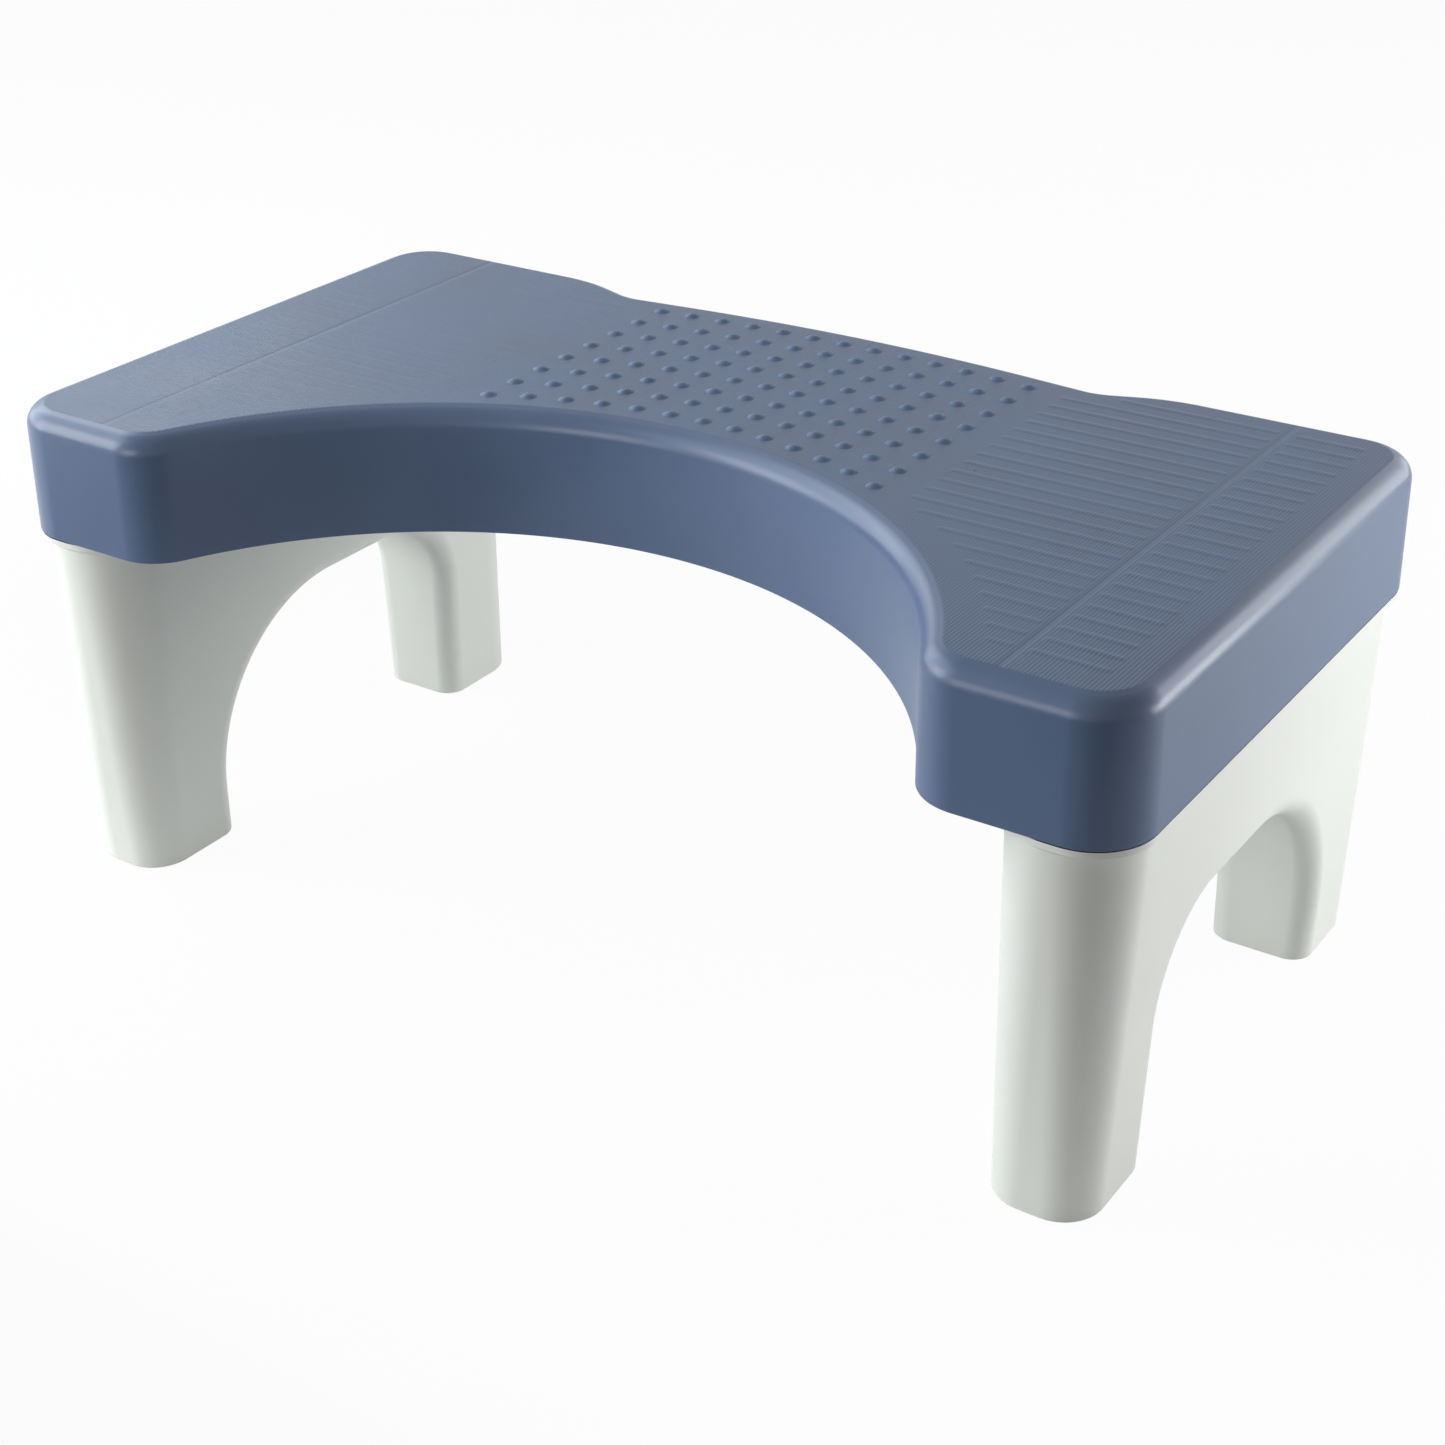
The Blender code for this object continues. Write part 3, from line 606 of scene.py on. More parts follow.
@dataclass
class ScrewPlan:
    """Where the screws go, and their shape."""

    x: float = 0.1534
    ys: list[float] = field(default_factory=lambda: [-0.078, 0.0, 0.078])
    tab_half_width: float = 0.010
    head_z: float = 0.1350
    head_radius: float = 0.00375
    head_height: float = 0.0024
    head_dome: float = 0.75
    head_steps: int = 6
    shank_radius: float = 0.0019
    length: float = 0.014
    tip: float = 0.003
    recess_reach: float = 0.0021
    recess_half_width: float = 0.00045
    recess_depth: float = 0.0011
    steps: int = 28

    def places(self) -> list[Pair]:
        """List the screws' places, right frame first, front to back."""
        return [(side.value * self.x, y) for side in Side for y in self.ys]

    def body(self) -> BMesh:
        """Turn the screw's half section, from its head's middle to its tip, about Z.

        Returns:
            The screw's bmesh.
        """
        low, tip_z = self.head_z - self.head_height, self.head_z + self.length
        points = [(0.0, low)]
        for step in range(1, self.head_steps + 1):
            angle = QUARTER * step / self.head_steps
            points.append((self.head_radius * math.sin(angle),
                           low + self.head_height * self.head_dome * (1 - math.cos(angle))))
        points += [(self.head_radius, self.head_z), (self.shank_radius, self.head_z),
                   (self.shank_radius, tip_z - self.tip), (0.0, tip_z)]
        tool = bmesh.new()
        edges = chain(tool, (Vector((reach, 0, z)) for reach, z in points))
        spin(tool, edges, Vector(), TURN, self.steps, use_merge=True)
        bmesh.ops.remove_doubles(tool, verts=tool.verts, dist=WELD)
        return tool

    def recess(self) -> BMesh:
        """Shape the cross that is sunk into the head.

        Returns:
            The cross's bmesh.
        """
        tool = bmesh.new()
        low = self.head_z - self.head_height - self.recess_depth
        wide, narrow = self.recess_reach, self.recess_half_width
        arms = [(wide, narrow), (narrow, wide)]
        signs = ((-1, -1), (1, -1), (1, 1), (-1, 1))
        points = []
        for index, (sx, sy) in enumerate(signs):
            first, last = arms[::-1] if index % 2 else arms
            points += [(sx * first[0], sy * first[1]), (sx * narrow, sy * narrow),
                       (sx * last[0], sy * last[1])]
        fill(tool, [Vector(point) for point in points], low)
        raise_by(tool, 2 * self.recess_depth)
        return tool

    def build(self, maker: Maker) -> None:
        """Make one screw and set a copy of it in each place.

        Args:
            maker: Makes the pieces.
        """
        shaped = bare(self.body(), "screw_shape")
        carve(shaped, bare(self.recess(), "recess_cutter"))
        names = [f"{side.word}_{end}" for side in Side for end in ("front", "middle", "back")]
        for name, (x, y) in zip(names, self.places()):
            tool = reopened(shaped)
            bmesh.ops.translate(tool, verts=tool.verts, vec=(x, y, 0))
            maker.piece(tool, f"screw_{name}", ZINC, [f"leg_screw_{name}"])
        bpy.data.objects.remove(shaped, do_unlink=True)


@dataclass
class TopShell:
    """The navy top: its skin, and the ribs, sockets and bosses under it."""

    screws: ScrewPlan
    length: float = 0.420
    depth: float = 0.2206
    height: float = 0.1750
    skirt_height: float = 0.0447
    wall: float = 0.0028
    draft: float = 0.0004
    rim_radius: float = 0.007
    end_radius: float = 0.020
    bay_reach: float = 0.0994
    lobe_inset: float = 0.0524
    lobe_radius: float = 0.019
    shoulder_inset: float = 0.0896
    shoulder_radius: float = 0.065
    dip_run: float = 0.0232
    dip_radius: float = 0.018
    crest_drop: float = 0.0018
    crest_radius: float = 0.645
    crest_run: float = 0.0267
    bay_steps: int = 56
    lobe_steps: int = 16
    end_steps: int = 18
    shoulder_steps: int = 14
    dip_steps: int = 10
    crest_steps: int = 16
    rim_steps: int = 10
    panel_drop: float = 0.00036
    panel_lip: float = 0.00030
    panel_rise: float = 0.00018
    hem: float = 0.0004
    hem_tilt: float = -0.5
    rib_wall: float = 0.0020
    rib_taper: float = 0.7
    rib_edge: float = 0.00035
    long_rib_depth: float = 0.024
    cross_rib_depth: float = 0.022
    cross_rib_pitch: float = 0.036
    cross_ribs_each_side: int = 4
    first_long_rib: float = 0.040
    long_rib_pitch: float = 0.029
    long_ribs: int = 6
    bearing_rib_depth: float = 0.006
    bearing_rib_pitch: float = 0.040
    bearing_ribs_each_side: int = 2
    socket_x: float = 0.1664
    tab_top: float = 0.1381
    boss_low: float = 0.1384
    boss_radius: float = 0.0048
    boss_flare: float = 1.08
    boss_steps: int = 32

    def __post_init__(self) -> None:
        """Work out the places that follow from the sizes."""
        self.end = self.length / 2
        self.back = self.depth / 2
        self.front = -self.depth / 2
        self.skirt_z = self.height - self.skirt_height
        self.plate_z = self.height - self.wall
        self.lobe_x = self.end - self.lobe_inset
        self.lobe_y = self.front + self.lobe_radius
        spread = (self.lobe_x ** 2 + self.bay_reach ** 2) / (2 * self.bay_reach)
        self.bay_radius = spread - self.lobe_radius
        self.bay_y = self.front + self.bay_reach - self.bay_radius
        self.shoulder_x = self.end - self.shoulder_inset
        self.dip_x = self.shoulder_x - self.dip_run
        self.crest_half_width = self.dip_x - self.crest_run
        self.crest_y = self.back - self.crest_drop - self.crest_radius

    def half_outline(self, inset: float) -> list[Arc]:
        """List the arcs of the right half, from the bay's middle to the back's middle.

        Args:
            inset: How far the outline lies inside the real one.

        Returns:
            The arcs in order.
        """
        meeting = math.atan2(self.lobe_y - self.bay_y, self.lobe_x)
        corner_x = self.end - self.end_radius
        corner_y = self.back - self.end_radius
        lean = math.asin(self.crest_half_width / self.crest_radius)
        middle = Vector((0, self.crest_y))
        crest_end = middle + self.crest_radius * Vector((math.sin(lean), math.cos(lean)))
        run = (self.dip_x - self.crest_half_width) * math.tan(lean)
        dip = Vector((self.dip_x, crest_end.y - run))
        shoulder = Vector((self.shoulder_x, self.back))
        edge = Vector((self.end, self.back))
        whole = [
            Arc(Vector((0, self.bay_y)), self.bay_radius, QUARTER, meeting - QUARTER,
                self.bay_steps),
            Arc(Vector((self.lobe_x, self.lobe_y)), self.lobe_radius, meeting + math.pi,
                QUARTER - meeting, self.lobe_steps),
            Arc(Vector((corner_x, -corner_y)), self.end_radius, -QUARTER, QUARTER,
                self.end_steps),
            Arc(Vector((corner_x, corner_y)), self.end_radius, 0, QUARTER, self.end_steps),
            Arc.rounding(edge, shoulder, dip, self.shoulder_radius, self.shoulder_steps),
            Arc.rounding(shoulder, dip, crest_end, self.dip_radius, self.dip_steps),
            Arc(middle, self.crest_radius, QUARTER - lean, lean, self.crest_steps),
        ]
        return [arc.inset(inset) for arc in whole]

    def form(self, inset: float) -> tuple[BMesh, list[Face]]:
        """Shape the top as a block with a rounded rim, its panel not yet raised.

        Args:
            inset: How far the block lies inside the real one.

        Returns:
            The block's bmesh and its underside.
        """
        tool = bmesh.new()
        draw(tool, self.half_outline(inset), self.skirt_z)
        mirror_x(tool, WELD)
        bmesh.ops.contextual_create(tool, geom=tool.edges[:])
        underside = tool.faces[:]
        tall = self.skirt_height - self.panel_rise - inset
        raised = raise_by(tool, tall)
        draw_in = (1 - 2 * self.draft / self.length, 1 - 2 * self.draft / self.depth, 1)
        bmesh.ops.scale(tool, verts=raised, vec=draw_in)
        rim = edges_within(tool, self.skirt_z + tall / 2, self.height)
        round_edges(tool, rim, self.rim_radius - inset, self.rim_steps)
        bmesh.ops.recalc_face_normals(tool, faces=tool.faces)
        return tool, underside

    def skin(self) -> BMesh:
        """Hollow the block out, soften its hem and lift the ribbed panel by a thin step.

        Returns:
            The skin's bmesh.
        """
        tool, underside = self.form(0)
        bmesh.ops.delete(tool, geom=underside, context="FACES_ONLY")
        bmesh.ops.solidify(tool, geom=tool.faces[:], thickness=self.wall)
        hem = [e for e in edges_within(tool, 0, self.skirt_z + FIT / 2)
               if any(f.normal.z > self.hem_tilt for f in e.link_faces)]
        round_edges(tool, hem, self.hem, EDGE_STEPS)
        panel = [f for f in tool.faces
                 if all(v.co.z > self.height - self.panel_drop for v in f.verts)]
        bmesh.ops.inset_region(tool, faces=panel, thickness=self.panel_lip,
                               depth=self.panel_rise, use_even_offset=True,
                               use_boundary=True)
        for face in panel:
            face.material_index = 1
        return tool

    def rib(self, tool: BMesh, xs: Pair, ys: Pair, depth: float) -> None:
        """Add one rib that thins towards its free edge.

        Args:
            tool: The bmesh.
            xs: The rib's low and high x.
            ys: Its low and high y.
            depth: How far it hangs under the plate.
        """
        low, high = (Vector(corner) for corner in zip(xs, ys, (self.plate_z - depth, self.height)))
        middle = (low + high) / 2
        foot = [v for v in block(tool, low, high) if v.co.z < middle.z]
        along_x = high.x - low.x > high.y - low.y
        thin = (1, self.rib_taper, 1) if along_x else (self.rib_taper, 1, 1)
        bmesh.ops.scale(tool, verts=foot, vec=thin, space=Matrix.Translation(-middle))
        edges = [e for v in foot for e in v.link_edges if all(w in foot for w in e.verts)]
        round_edges(tool, list(dict.fromkeys(edges)), self.rib_edge, EDGE_STEPS)

    def rib_sets(self) -> dict[str, BMesh]:
        """Shape the ribs along the stool, across it and, short ones, over the leg frames.

        Returns:
            The names and bmeshes of the three sets.
        """
        along, across, bearing = bmesh.new(), bmesh.new(), bmesh.new()
        half = self.rib_wall / 2
        reach = self.socket_x - half
        for index in range(self.long_ribs):
            y = self.front + self.first_long_rib + index * self.long_rib_pitch
            self.rib(along, (-reach, reach), (y - half, y + half), self.long_rib_depth)
        for index in range(-self.cross_ribs_each_side, self.cross_ribs_each_side + 1):
            x = index * self.cross_rib_pitch
            self.rib(across, (x - half, x + half), (self.front, self.back),
                     self.cross_rib_depth)
        for side in Side:
            near, far = sorted((side.value * reach, side.value * self.end))
            for index in range(-self.bearing_ribs_each_side, self.bearing_ribs_each_side + 1):
                y = index * self.bearing_rib_pitch
                block(bearing, Vector((near, y - half, self.plate_z - self.bearing_rib_depth)),
                      Vector((far, y + half, self.height)))
        return {"long_ribs": along, "cross_ribs": across, "bearing_ribs": bearing}

    def socket_walls(self) -> BMesh:
        """Shape both sockets' walls, notched for the leg frames' tabs.

        Returns:
            The walls' bmesh.
        """
        tool = bmesh.new()
        notch_z = self.tab_top + FIT
        notch_reach = self.screws.tab_half_width + FIT
        stops = [Vector((self.front, self.skirt_z))]
        for y in self.screws.ys:
            near, far = y - notch_reach, y + notch_reach
            stops += [Vector((near, self.skirt_z)), Vector((near, notch_z)),
                      Vector((far, notch_z)), Vector((far, self.skirt_z))]
        stops += [Vector((self.back, self.skirt_z)), Vector((self.back, self.height)),
                  Vector((self.front, self.height))]
        fill(tool, stops)
        raise_by(tool, self.rib_wall)
        stand_up(tool, self.socket_x - self.rib_wall)
        mirror_x(tool)
        return tool

    def bosses(self) -> BMesh:
        """Shape the screw bosses.

        Returns:
            The bosses' bmesh.
        """
        tool = bmesh.new()
        tall = self.plate_z + self.wall / 2 - self.boss_low
        for x, y in self.screws.places():
            matrix = Matrix.Translation((x, y, self.boss_low + tall / 2))
            bmesh.ops.create_cone(tool, cap_ends=True, segments=self.boss_steps,
                                  radius1=self.boss_radius, depth=tall, matrix=matrix,
                                  radius2=self.boss_radius * self.boss_flare)
        return tool

    def build(self, maker: Maker) -> None:
        """Make and dress the skin and what is moulded under it.

        Args:
            maker: Makes the pieces.
        """
        maker.dress(bare(self.skin(), "top_skin"), NAVY, NAVY_RIBBED, replaced=["top_shell"])
        inner = self.rib_sets() | {"socket_walls": self.socket_walls()}
        for name, tool in inner.items():
            thing = bare(tool, name)
            carve(thing, bare(self.form(self.wall / 2)[0], "core"), "INTERSECT")
            maker.dress(thing, NAVY)
        maker.piece(self.bosses(), "screw_bosses", NAVY)


@dataclass
class GripRelief:
    """The massage domes and the grip ridges that stand on the top."""

    top: TopShell
    columns: int = 13
    rows: int = 8
    pitch: float = 0.01264
    edge_inset: float = 0.0149
    ridge_rows: int = 23
    ridge_pitch: float = 0.00839
    ridge_front: float = 0.0200
    ridge_end: float = 0.1944
    ridge_bay_inset: float = 0.0166
    ridge_start: float = 0.0884
    last_ridge_start: float = 0.1065
    ridge_break: float = 0.1668
    ridge_gap: float = 0.0030
    left_share: float = 0.30
    ridge_shortest: float = 0.006
    dome_profile: tuple[Pair, ...] = (
        (0.0, 0.00100), (0.0009, 0.00092), (0.0016, 0.00070), (0.0021, 0.00042),
        (0.0025, 0.00020), (0.0029, 0.00005), (0.0033, -0.0001))
    dome_steps: int = 14
    ridge_profile: tuple[Pair, ...] = (
        (0.0, 0.00017), (0.0005, 0.00015), (0.0009, 0.00011), (0.0013, 0.00005),
        (0.0018, 0.00001), (0.0024, -0.00006))
    ridge_cap_steps: int = 5
    gate_place: Pair = (0.0957, 0.014)
    gate_share: float = 0.22

    def dome(self, tool: BMesh, place: Vector) -> None:
        """Add one dome, its middle at a place on the plate."""
        points = (place + Vector((0, reach, rise)) for reach, rise in self.dome_profile)
        spin(tool, chain(tool, points), place, TURN, self.dome_steps, use_merge=True)

    def gate_marks(self) -> BMesh:
        """Shape the tiny marks that the mould's two gates left.

        Returns:
            The marks' bmesh.
        """
        tool = bmesh.new()
        self.dome(tool, Vector())
        bmesh.ops.scale(tool, verts=tool.verts, vec=(self.gate_share,) * 3)
        bmesh.ops.translate(tool, verts=tool.verts, vec=(*self.gate_place, self.top.height))
        mirror_x(tool)
        bmesh.ops.remove_doubles(tool, verts=tool.verts, dist=WELD)
        return tool

    def ridge(self, tool: BMesh, start: float, stop: float, y: float) -> None:
        """Add one ridge with round ends.

        Args:
            tool: The bmesh.
            start: Its low x.
            stop: Its high x.
            y: Its place along Y.
        """
        reach = self.ridge_profile[-1][0]
        low = Vector((start + reach, y, self.top.height))
        high = Vector((stop - reach, y, self.top.height))
        edges = chain(tool, (low + Vector((0, out, rise)) for out, rise in self.ridge_profile))
        for place, shift in ((low, high - low), (high, low - high)):
            last = spin(tool, edges, place, math.pi, self.ridge_cap_steps, use_duplicate=False)
            slid = bmesh.ops.extrude_edge_only(tool, edges=only(Edge, last))["geom"]
            moved = only(Vert, slid)
            bmesh.ops.translate(tool, verts=moved, vec=shift)
            edges = [e for e in only(Edge, slid) if all(v in moved for v in e.verts)]

    def dome_field(self) -> BMesh:
        """Shape the field of domes, its rows bending from the bay to the crest.

        Returns:
            The domes' bmesh.
        """
        tool = bmesh.new()
        near = self.top.bay_radius + self.edge_inset
        far = self.top.crest_radius - self.edge_inset
        for column in range(self.columns):
            x = (column - (self.columns - 1) / 2) * self.pitch
            first = self.top.bay_y + math.sqrt(near ** 2 - x ** 2)
            last = self.top.crest_y + math.sqrt(far ** 2 - x ** 2)
            for row in range(self.rows):
                y = first + (last - first) * row / (self.rows - 1)
                self.dome(tool, Vector((x, y, self.top.height)))
        bmesh.ops.remove_doubles(tool, verts=tool.verts, dist=WELD)
        return tool

    def ridge_field(self) -> BMesh:
        """Shape the right field of ridges, each broken by a line along the foot.

        The last one starts later, clear of the dip in the back edge.

        Returns:
            The ridges' bmesh.
        """
        tool = bmesh.new()
        near = self.top.bay_radius + self.ridge_bay_inset
        for row in range(self.ridge_rows):
            y = self.top.front + self.ridge_front + row * self.ridge_pitch
            along = math.sqrt(max(near ** 2 - (y - self.top.bay_y) ** 2, 0))
            first = self.ridge_start if row < self.ridge_rows - 1 else self.last_ridge_start
            spans = [(max(first, along), self.ridge_break - self.ridge_gap / 2),
                     (self.ridge_break + self.ridge_gap / 2, self.ridge_end)]
            for start, stop in spans:
                if stop - start > self.ridge_shortest:
                    self.ridge(tool, start, stop, y)
        bmesh.ops.remove_doubles(tool, verts=tool.verts, dist=WELD)
        return tool

    def build(self, maker: Maker) -> None:
        """Make and dress the domes and both fields of ridges, the left one lower.

        Args:
            maker: Makes the pieces.
        """
        maker.piece(self.dome_field(), "massage_domes", NAVY_MATT)
        maker.piece(self.gate_marks(), "gate_marks", NAVY)
        for side in Side:
            tool = self.ridge_field()
            share = 1.0 if side is Side.RIGHT else self.left_share
            bmesh.ops.scale(tool, verts=tool.verts, vec=(side.value, 1, share),
                            space=Matrix.Translation((0, 0, -self.top.height)))
            maker.piece(tool, f"grip_ridges_{side.word}", NAVY_RIBBED)


@dataclass(frozen=True)
class Level:
    """A level rectangle with one radius for its inner and one for its outer corners."""

    height: float
    inner_x: float
    outer_x: float
    reach_y: float
    inner_radius: float
    outer_radius: float

    def corners(self, steps: int = 16) -> list[Arc]:
        """List the level's corners, anticlockwise from low x and low y."""
        inner, outer = self.inner_radius, self.outer_radius
        return corner_arcs((self.inner_x, self.outer_x), (-self.reach_y, self.reach_y),
                           (inner, outer, outer, inner), steps)

    def corner_of(self, point: Vector) -> int:
        """Say which corner a point of this level belongs to."""
        right = point.x > (self.inner_x + self.outer_x) / 2
        return int(right) if point.y < 0 else 3 - int(right)


@dataclass
class LegFrame:
    """A white end frame: two feet, an arch between them, a collar and a plug."""

    screws: ScrewPlan
    length: float = 0.420
    depth: float = 0.2206
    skirt_z: float = 0.1303
    rim_z: float = 0.1659
    sole_z: float = 0.0006
    foot: tuple[float, float, float, float] = (0.1676, 0.2029, 0.1050, 0.014)
    shoulder: tuple[float, float, float, float] = (0.1652, 0.2075, 0.1083, 0.0208)
    collar_height: float = 0.0020
    collar_flare: float = 0.0016
    collar_proud: float = 0.0014
    collar_flush: float = 0.0002
    plug_inner_x: float = 0.1667
    plug_inset: float = 0.0035
    plug_inner_radius: float = 0.018
    outer_corner: float = 0.020
    arch_half_width: float = 0.0628
    arch_height: float = 0.0819
    arch_tight: float = 0.0297
    arch_broad: float = 0.0625
    tight_steps: int = 20
    broad_steps: int = 40
    arch_edge: float = 0.008
    edge_steps: int = 9
    level_tilt: float = 0.05
    side_tilt: float = 0.9
    overrun: float = 0.010
    cutter_reach: float = 0.070
    sole_edge: float = 0.0006
    sole_angle: float = 1.0
    sole_steps: int = 3
    tab_z: float = 0.1353
    tab_thickness: float = 0.0028
    tab_reach: float = 0.0060
    tab_root: float = 0.0013
    tab_corner: float = 0.004
    tab_steps: int = 6

    def levels(self) -> list[Level]:
        """List the frame's levels from the sole to the rim.

        Returns:
            The levels in order.
        """
        collar_top = self.skirt_z - FIT
        collar_low = collar_top - self.collar_height
        shoulder_z = collar_low - self.collar_flare
        end, back = self.length / 2, self.depth / 2
        flush = self.collar_flush
        collar = (self.shoulder[0] - self.collar_proud, end - flush, back - flush,
                  self.shoulder[3] + self.collar_proud, self.outer_corner - flush)
        plug = (self.plug_inner_x, end - self.plug_inset, back - self.plug_inset,
                self.plug_inner_radius, self.outer_corner - self.plug_inset)
        return [
            Level(self.sole_z, *self.foot, self.foot[3]),
            Level(shoulder_z, *self.shoulder, self.shoulder[3]),
            Level(collar_low, *collar),
            Level(collar_top, *collar),
            Level(collar_top, *plug),
            Level(self.rim_z, *plug),
        ]

    def body(self) -> BMesh:
        """Raise the frame's block level by level.

        Returns:
            The block's bmesh.
        """
        tool = bmesh.new()
        levels = self.levels()
        fill(tool, levels[0].corners(), self.sole_z)
        top = tool.faces[:][0]
        for lower, upper in zip(levels, levels[1:]):
            raised = bmesh.ops.extrude_face_region(tool, geom=[top])["geom"]
            top = only(Face, raised)[0]
            pairs = list(zip(lower.corners(), upper.corners()))
            for vert in top.verts:
                old, new = pairs[lower.corner_of(vert.co)]
                place = new.centre + (vert.co.xy - old.centre) * (new.radius / old.radius)
                vert.co = (*place, upper.height)
        return tool

    def arch(self) -> BMesh:
        """Shape the prism that cuts the arch: tight at the front, broad at the back.

        Returns:
            The prism's bmesh.
        """
        tool = bmesh.new()
        wide, high = self.arch_half_width, self.arch_height
        foot, front, back, end = (Vector(spot) for spot in (
            (-wide, -self.overrun), (-wide, high), (wide, high), (wide, -self.overrun)))
        tight = Arc.rounding(foot, front, back, self.arch_tight, self.tight_steps)
        broad = Arc.rounding(front, back, end, self.arch_broad, self.broad_steps)
        fill(tool, [foot, tight, broad, end])
        raise_by(tool, self.cutter_reach + self.overrun)
        stand_up(tool, self.length / 2 - self.cutter_reach)
        return tool

    def soften(self, thing: Object) -> None:
        """Round the edges of the arch, where its roof meets the sides, and of the soles.

        Args:
            thing: The frame with its arch cut.
        """
        tool = reopened(thing)
        shoulder_z = self.levels()[1].height
        chosen = []
        for edge in tool.edges:
            tilts = sorted(abs(face.normal.x) for face in edge.link_faces)
            top = max(v.co.z for v in edge.verts)
            if (tilts[0] < self.level_tilt and tilts[-1] > self.side_tilt
                    and self.sole_z + FIT < top < shoulder_z - FIT):
                chosen.append(edge)
        round_edges(tool, chosen, self.arch_edge, self.edge_steps)
        bmesh.ops.remove_doubles(tool, verts=tool.verts, dist=WELD)
        soles = [e for e in edges_within(tool, 0, self.sole_z + FIT / 3)
                 if len(e.link_faces) == 2 and e.calc_face_angle() > self.sole_angle]
        round_edges(tool, soles, self.sole_edge, self.sole_steps)
        tool.to_mesh(thing.data)
        tool.free()

    def tabs(self) -> BMesh:
        """Shape the right frame's screw tabs.

        Returns:
            The tabs' bmesh.
        """
        tool = bmesh.new()
        half = self.screws.tab_half_width
        for y in self.screws.ys:
            low = Vector((self.screws.x - self.tab_reach, y - half, self.tab_z))
            high = Vector((self.plug_inner_x + self.tab_root, y + half,
                           self.tab_z + self.tab_thickness))
            verts = block(tool, low, high)
            tips = [e for v in verts for e in v.link_edges
                    if all(w.co.x < low.x + FIT for w in e.verts)
                    and abs(e.verts[0].co.z - e.verts[1].co.z) > FIT]
            round_edges(tool, list(dict.fromkeys(tips)), self.tab_corner, self.tab_steps)
        return tool

    def build(self, maker: Maker) -> None:
        """Make the right frame, and turn a copy of it half round for the left.

        Args:
            maker: Makes the pieces.
        """
        shaped = bare(self.body(), "leg_frame_shape")
        carve(shaped, bare(self.arch(), "arch_cutter"))
        self.soften(shaped)
        for side in Side:
            parts = ((reopened(shaped), "leg_frame_moulding", [f"leg_frame_{side.word}"]),
                     (self.tabs(), "leg_tabs", []))
            for tool, name, replaced in parts:
                bmesh.ops.transform(tool, matrix=side.turn, verts=tool.verts)
                maker.piece(tool, f"{name}_{side.word}", WHITE, replaced)
        bpy.data.objects.remove(shaped, do_unlink=True)


@dataclass
class FootPads:
    """The four anti-slip pads set into the soles."""

    frame: LegFrame
    inset: float = 0.0035
    thickness: float = 0.0016
    edge: float = 0.0003
    corner_steps: int = 10

    def build(self, maker: Maker) -> None:
        """Make and dress the pads.

        Args:
            maker: Makes the pieces.
        """
        low_x, high_x, reach, corner = self.frame.foot
        near, far = self.frame.arch_half_width + self.inset, reach - self.inset
        outer, inner = [corner - self.inset] * 2, [self.frame.arch_edge - self.inset] * 2
        shapes = {True: ((-far, -near), outer + inner), False: ((near, far), inner + outer)}
        for side in Side:
            for front, (ys, radii) in shapes.items():
                tool = bmesh.new()
                xs = (low_x + self.inset, high_x - self.inset)
                fill(tool, corner_arcs(xs, ys, radii, self.corner_steps))
                raise_by(tool, self.thickness)
                rims = [e for e in tool.edges if abs(e.verts[0].co.z - e.verts[1].co.z) < WELD]
                round_edges(tool, rims, self.edge, EDGE_STEPS)
                bmesh.ops.transform(tool, matrix=side.turn, verts=tool.verts)
                end = "front" if front == (side is Side.RIGHT) else "back"
                word = f"{end}_{side.word}"
                maker.piece(tool, f"sole_pad_{word}", RUBBER, [f"foot_pad_{word}"])


@dataclass(frozen=True)
class Softbox:
    """A square or oblong soft lamp that looks at the stool."""

    name: str
    place: Triple
    size: Pair
    power: float
    tint: Triple = (1.0, 1.0, 1.0)

    def hang(self, target: Vector) -> None:
        """Hang the lamp.

        Args:
            target: What it looks at.
        """
        data = bpy.data.lights.new(self.name, "AREA")
        data.shape = "RECTANGLE"
        data.size, data.size_y = self.size
        data.energy = self.power
        data.color = self.tint
        lamp = thing_of(self.name, data)
        lamp.visible_camera = False
        lamp.location = self.place
        aim = target - Vector(self.place)
        lamp.rotation_euler = aim.to_track_quat("-Z", "Y").to_euler()


COOL = (0.95, 1.0, 1.06)
WARM = (1.02, 0.99, 0.95)


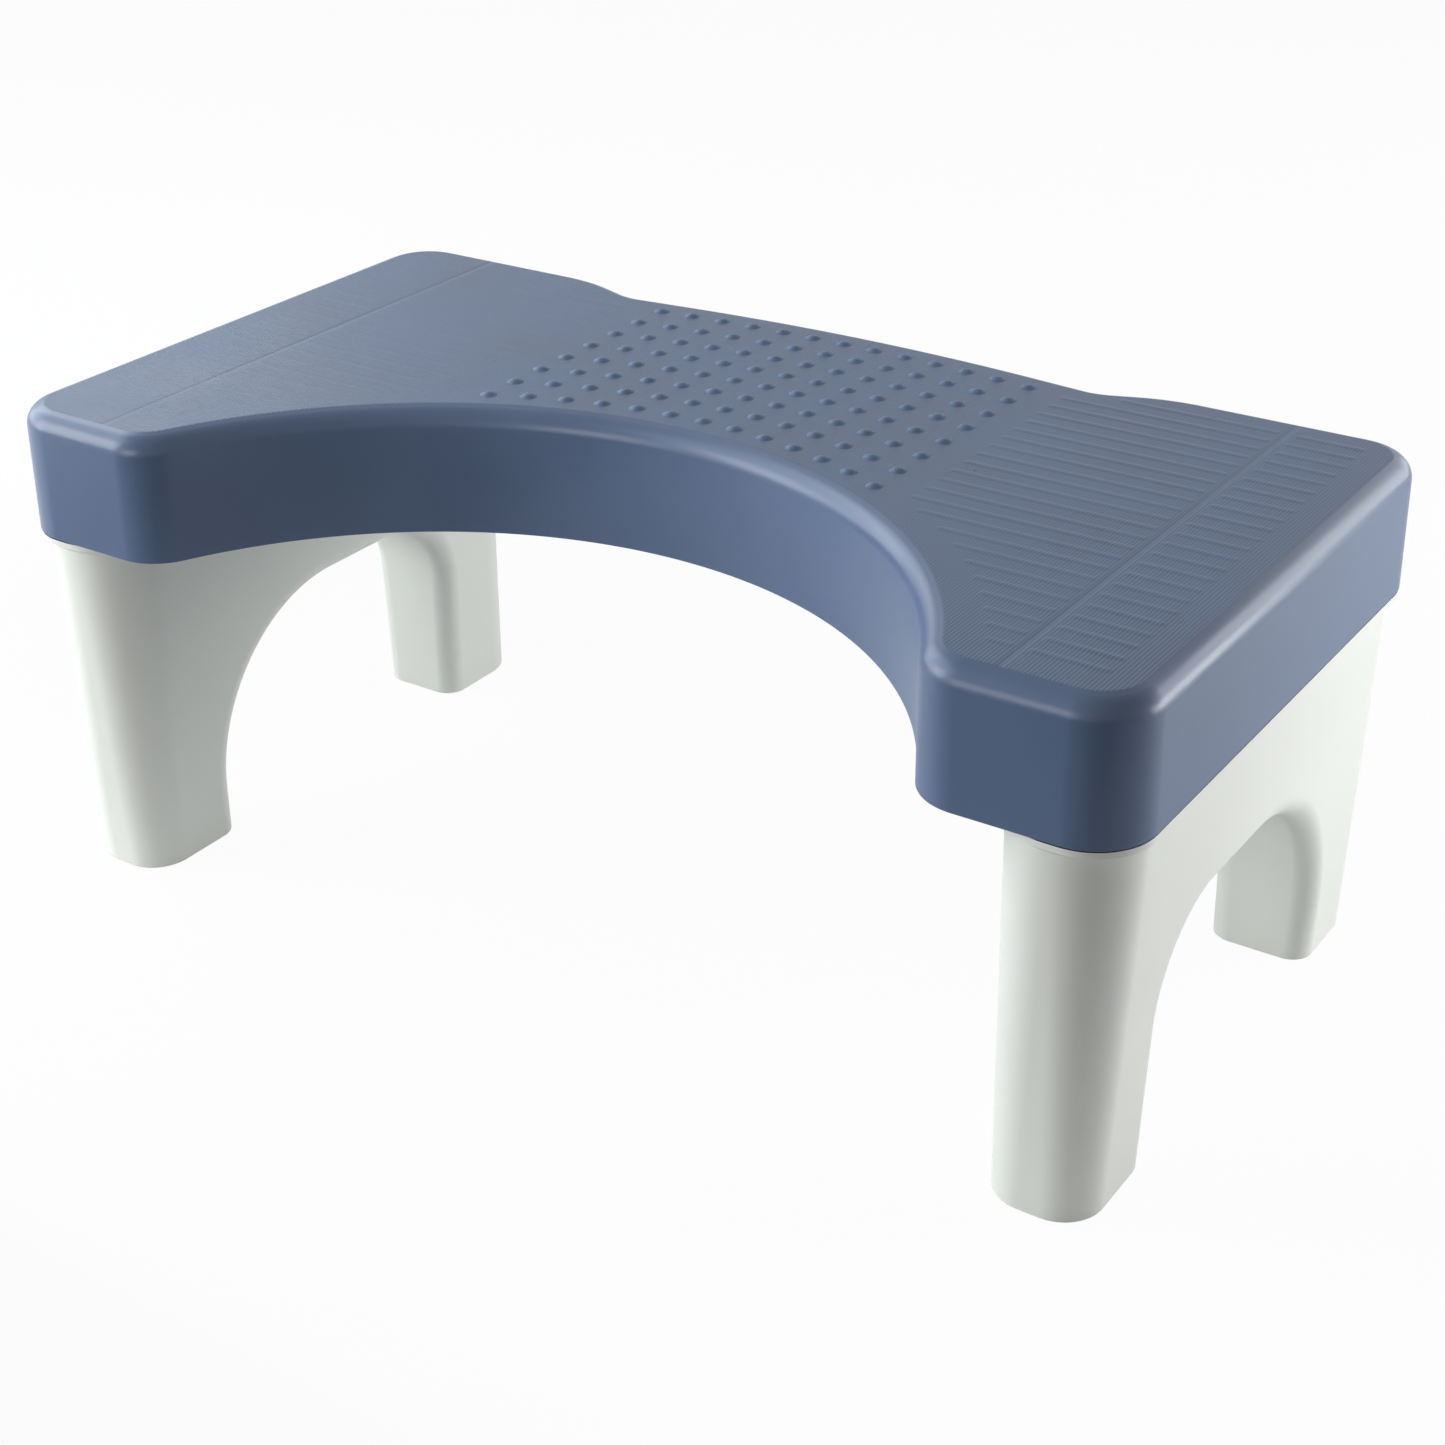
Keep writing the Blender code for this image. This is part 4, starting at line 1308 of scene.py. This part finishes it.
@dataclass
class Studio:
    """The pale floor, the lamps, the surroundings and the camera."""

    camera_place: Triple = (0.4338, -0.6321, 0.4704)
    azimuth: float = 33.70
    pitch: float = 27.94
    roll: float = -0.59
    lens: float = 61.88
    sensor_width: float = 36
    clip: Pair = (0.05, 50)
    shift: Pair = (-0.00558, 0.0008)
    aim: Triple = (0, 0, 0.12)
    sheet_roughness: float = 0.95
    floor_half: float = 6.0
    floor_grey: float = 0.80
    floor_seen: float = 0.96
    floor_mirrored: float = 0.35
    ambient: float = 0.03
    card_grey: float = 0.03
    cards: tuple[tuple[str, Triple, Pair], ...] = (
        ("front_card", (-0.45, -0.95, 0.02), (1.20, 0.67)),
        ("left_card", (-0.56, -0.05, 0.170), (0.30, 0.40)),
    )
    softboxes: tuple[Softbox, ...] = (
        Softbox("left_key", (-1.3, -0.35, 0.80), (1.7, 1.5), 22.0, COOL),
        Softbox("left_back", (-0.75, 0.30, 0.60), (0.5, 0.5), 1.5, COOL),
        Softbox("left_front", (-0.80, -0.60, 0.45), (0.5, 0.5), 4.2),
        Softbox("front_fill", (-0.30, -1.30, 0.35), (0.6, 0.5), 4.6, WARM),
        Softbox("right_back", (0.75, 0.90, 0.45), (0.6, 0.6), 3.0),
        Softbox("right_far", (1.40, 0.80, 0.35), (0.8, 0.6), 2.5),
        Softbox("right_low", (0.65, 0.35, 0.14), (0.4, 0.2), 2.1),
        Softbox("back", (0.5, 1.3, 0.5), (0.8, 0.8), 4.4),
    )

    def shown_white(self, wires: Nodes, seen: float, mirrored: float) -> Socket:
        """Mask the camera's rays by one value and glossy and transmitted ones by another.

        Args:
            wires: The tree to wire.
            seen: The mask's value for the camera's rays.
            mirrored: Its value for glossy and transmitted rays.

        Returns:
            The mask's socket.
        """
        ray = wires.add("ShaderNodeLightPath").outputs
        glossy = wires.math("MAXIMUM", ray["Is Glossy Ray"], ray["Is Transmission Ray"])
        return wires.math("MAXIMUM", wires.math("MULTIPLY", glossy, mirrored),
                          wires.math("MULTIPLY", ray["Is Camera Ray"], seen))

    def level_sheet(self, name: str, low: Triple, size: Pair, grey: float) -> Object:
        """Lay a level sheet that isn't part of the stool.

        Args:
            name: Its name.
            low: Its lowest corner.
            size: Its reach in X and Y.
            grey: Its brightness.

        Returns:
            The sheet.
        """
        tool = bmesh.new()
        middle = Vector(low) + Vector((*size, 0)) / 2
        matrix = Matrix.Translation(middle) @ Matrix.Diagonal((*size, 1, 1))
        bmesh.ops.create_grid(tool, x_segments=1, y_segments=1, size=0.5, matrix=matrix)
        sheet = bare(tool, name)
        made, wires, shader = new_material(name)
        wires.feed(shader, {"Base Color": (grey, grey, grey, 1),
                            "Roughness": self.sheet_roughness, "Specular IOR Level": 0.0})
        sheet.data.materials.append(made)
        return sheet

    def floor(self) -> None:
        """Lay the pale floor: it glows where it is seen and is lit elsewhere."""
        half = self.floor_half
        sheet = self.level_sheet("pale_floor", (-half, -half, 0), (2 * half, 2 * half),
                                 self.floor_grey)
        tree = sheet.data.materials[0].node_tree
        wires = Nodes(tree)
        shown = self.shown_white(wires, self.floor_seen, self.floor_mirrored)
        glow = wires.add("ShaderNodeEmission").outputs[0]
        lit = tree.nodes["Principled BSDF"].outputs[0]
        mix = wires.add("ShaderNodeMixShader", {0: shown, 1: lit, 2: glow})
        wires.feed(tree.nodes["Material Output"], {"Surface": mix.outputs[0]})

    def dark_cards(self) -> None:
        """Lay unseen dark cards that keep some light off the stool's front and left end."""
        for name, low, size in self.cards:
            self.level_sheet(name, low, size, self.card_grey).visible_camera = False

    def surroundings(self) -> None:
        """Make the world: white where it is seen, almost dark elsewhere."""
        world = bpy.data.worlds.new("studio")
        bpy.context.scene.world = world
        world.use_nodes = True
        wires = Nodes(world.node_tree)
        level = wires.math("MAXIMUM", self.shown_white(wires, 1.0, 1.0), self.ambient)
        wires.feed(world.node_tree.nodes["Background"],
                   {"Color": (1, 1, 1, 1), "Strength": level})

    def camera(self) -> None:
        """Set the camera at the photograph's angle and framing."""
        data = bpy.data.cameras.new("camera")
        data.lens = self.lens
        data.sensor_width = self.sensor_width
        data.shift_x, data.shift_y = self.shift
        data.clip_start, data.clip_end = self.clip
        camera = thing_of("camera", data)
        matrix = Matrix.Translation(self.camera_place)
        for angle, axis in ((self.azimuth, "Z"), (90 - self.pitch, "X"), (self.roll, "Z")):
            matrix @= Matrix.Rotation(math.radians(angle), 4, axis)
        camera.matrix_world = matrix
        bpy.context.scene.camera = camera

    def build(self) -> None:
        """Set up the whole studio."""
        bpy.context.scene.view_settings.view_transform = "Standard"
        self.floor()
        self.dark_cards()
        self.surroundings()
        for softbox in self.softboxes:
            softbox.hang(Vector(self.aim))
        self.camera()


def main() -> None:
    """Build every piece, then the studio, and report."""
    logging.basicConfig(level=logging.INFO, format="%(name)s: %(message)s")
    maker = Maker()
    screws = ScrewPlan()
    top, legs = TopShell(screws), LegFrame(screws)
    for part in (top, GripRelief(top), legs, FootPads(legs), screws):
        part.build(maker)
    Studio().build()
    bpy.context.view_layer.update()
    LOG.info("pieces made: %d", len(maker.made))


if __name__ == "__main__":
    main()
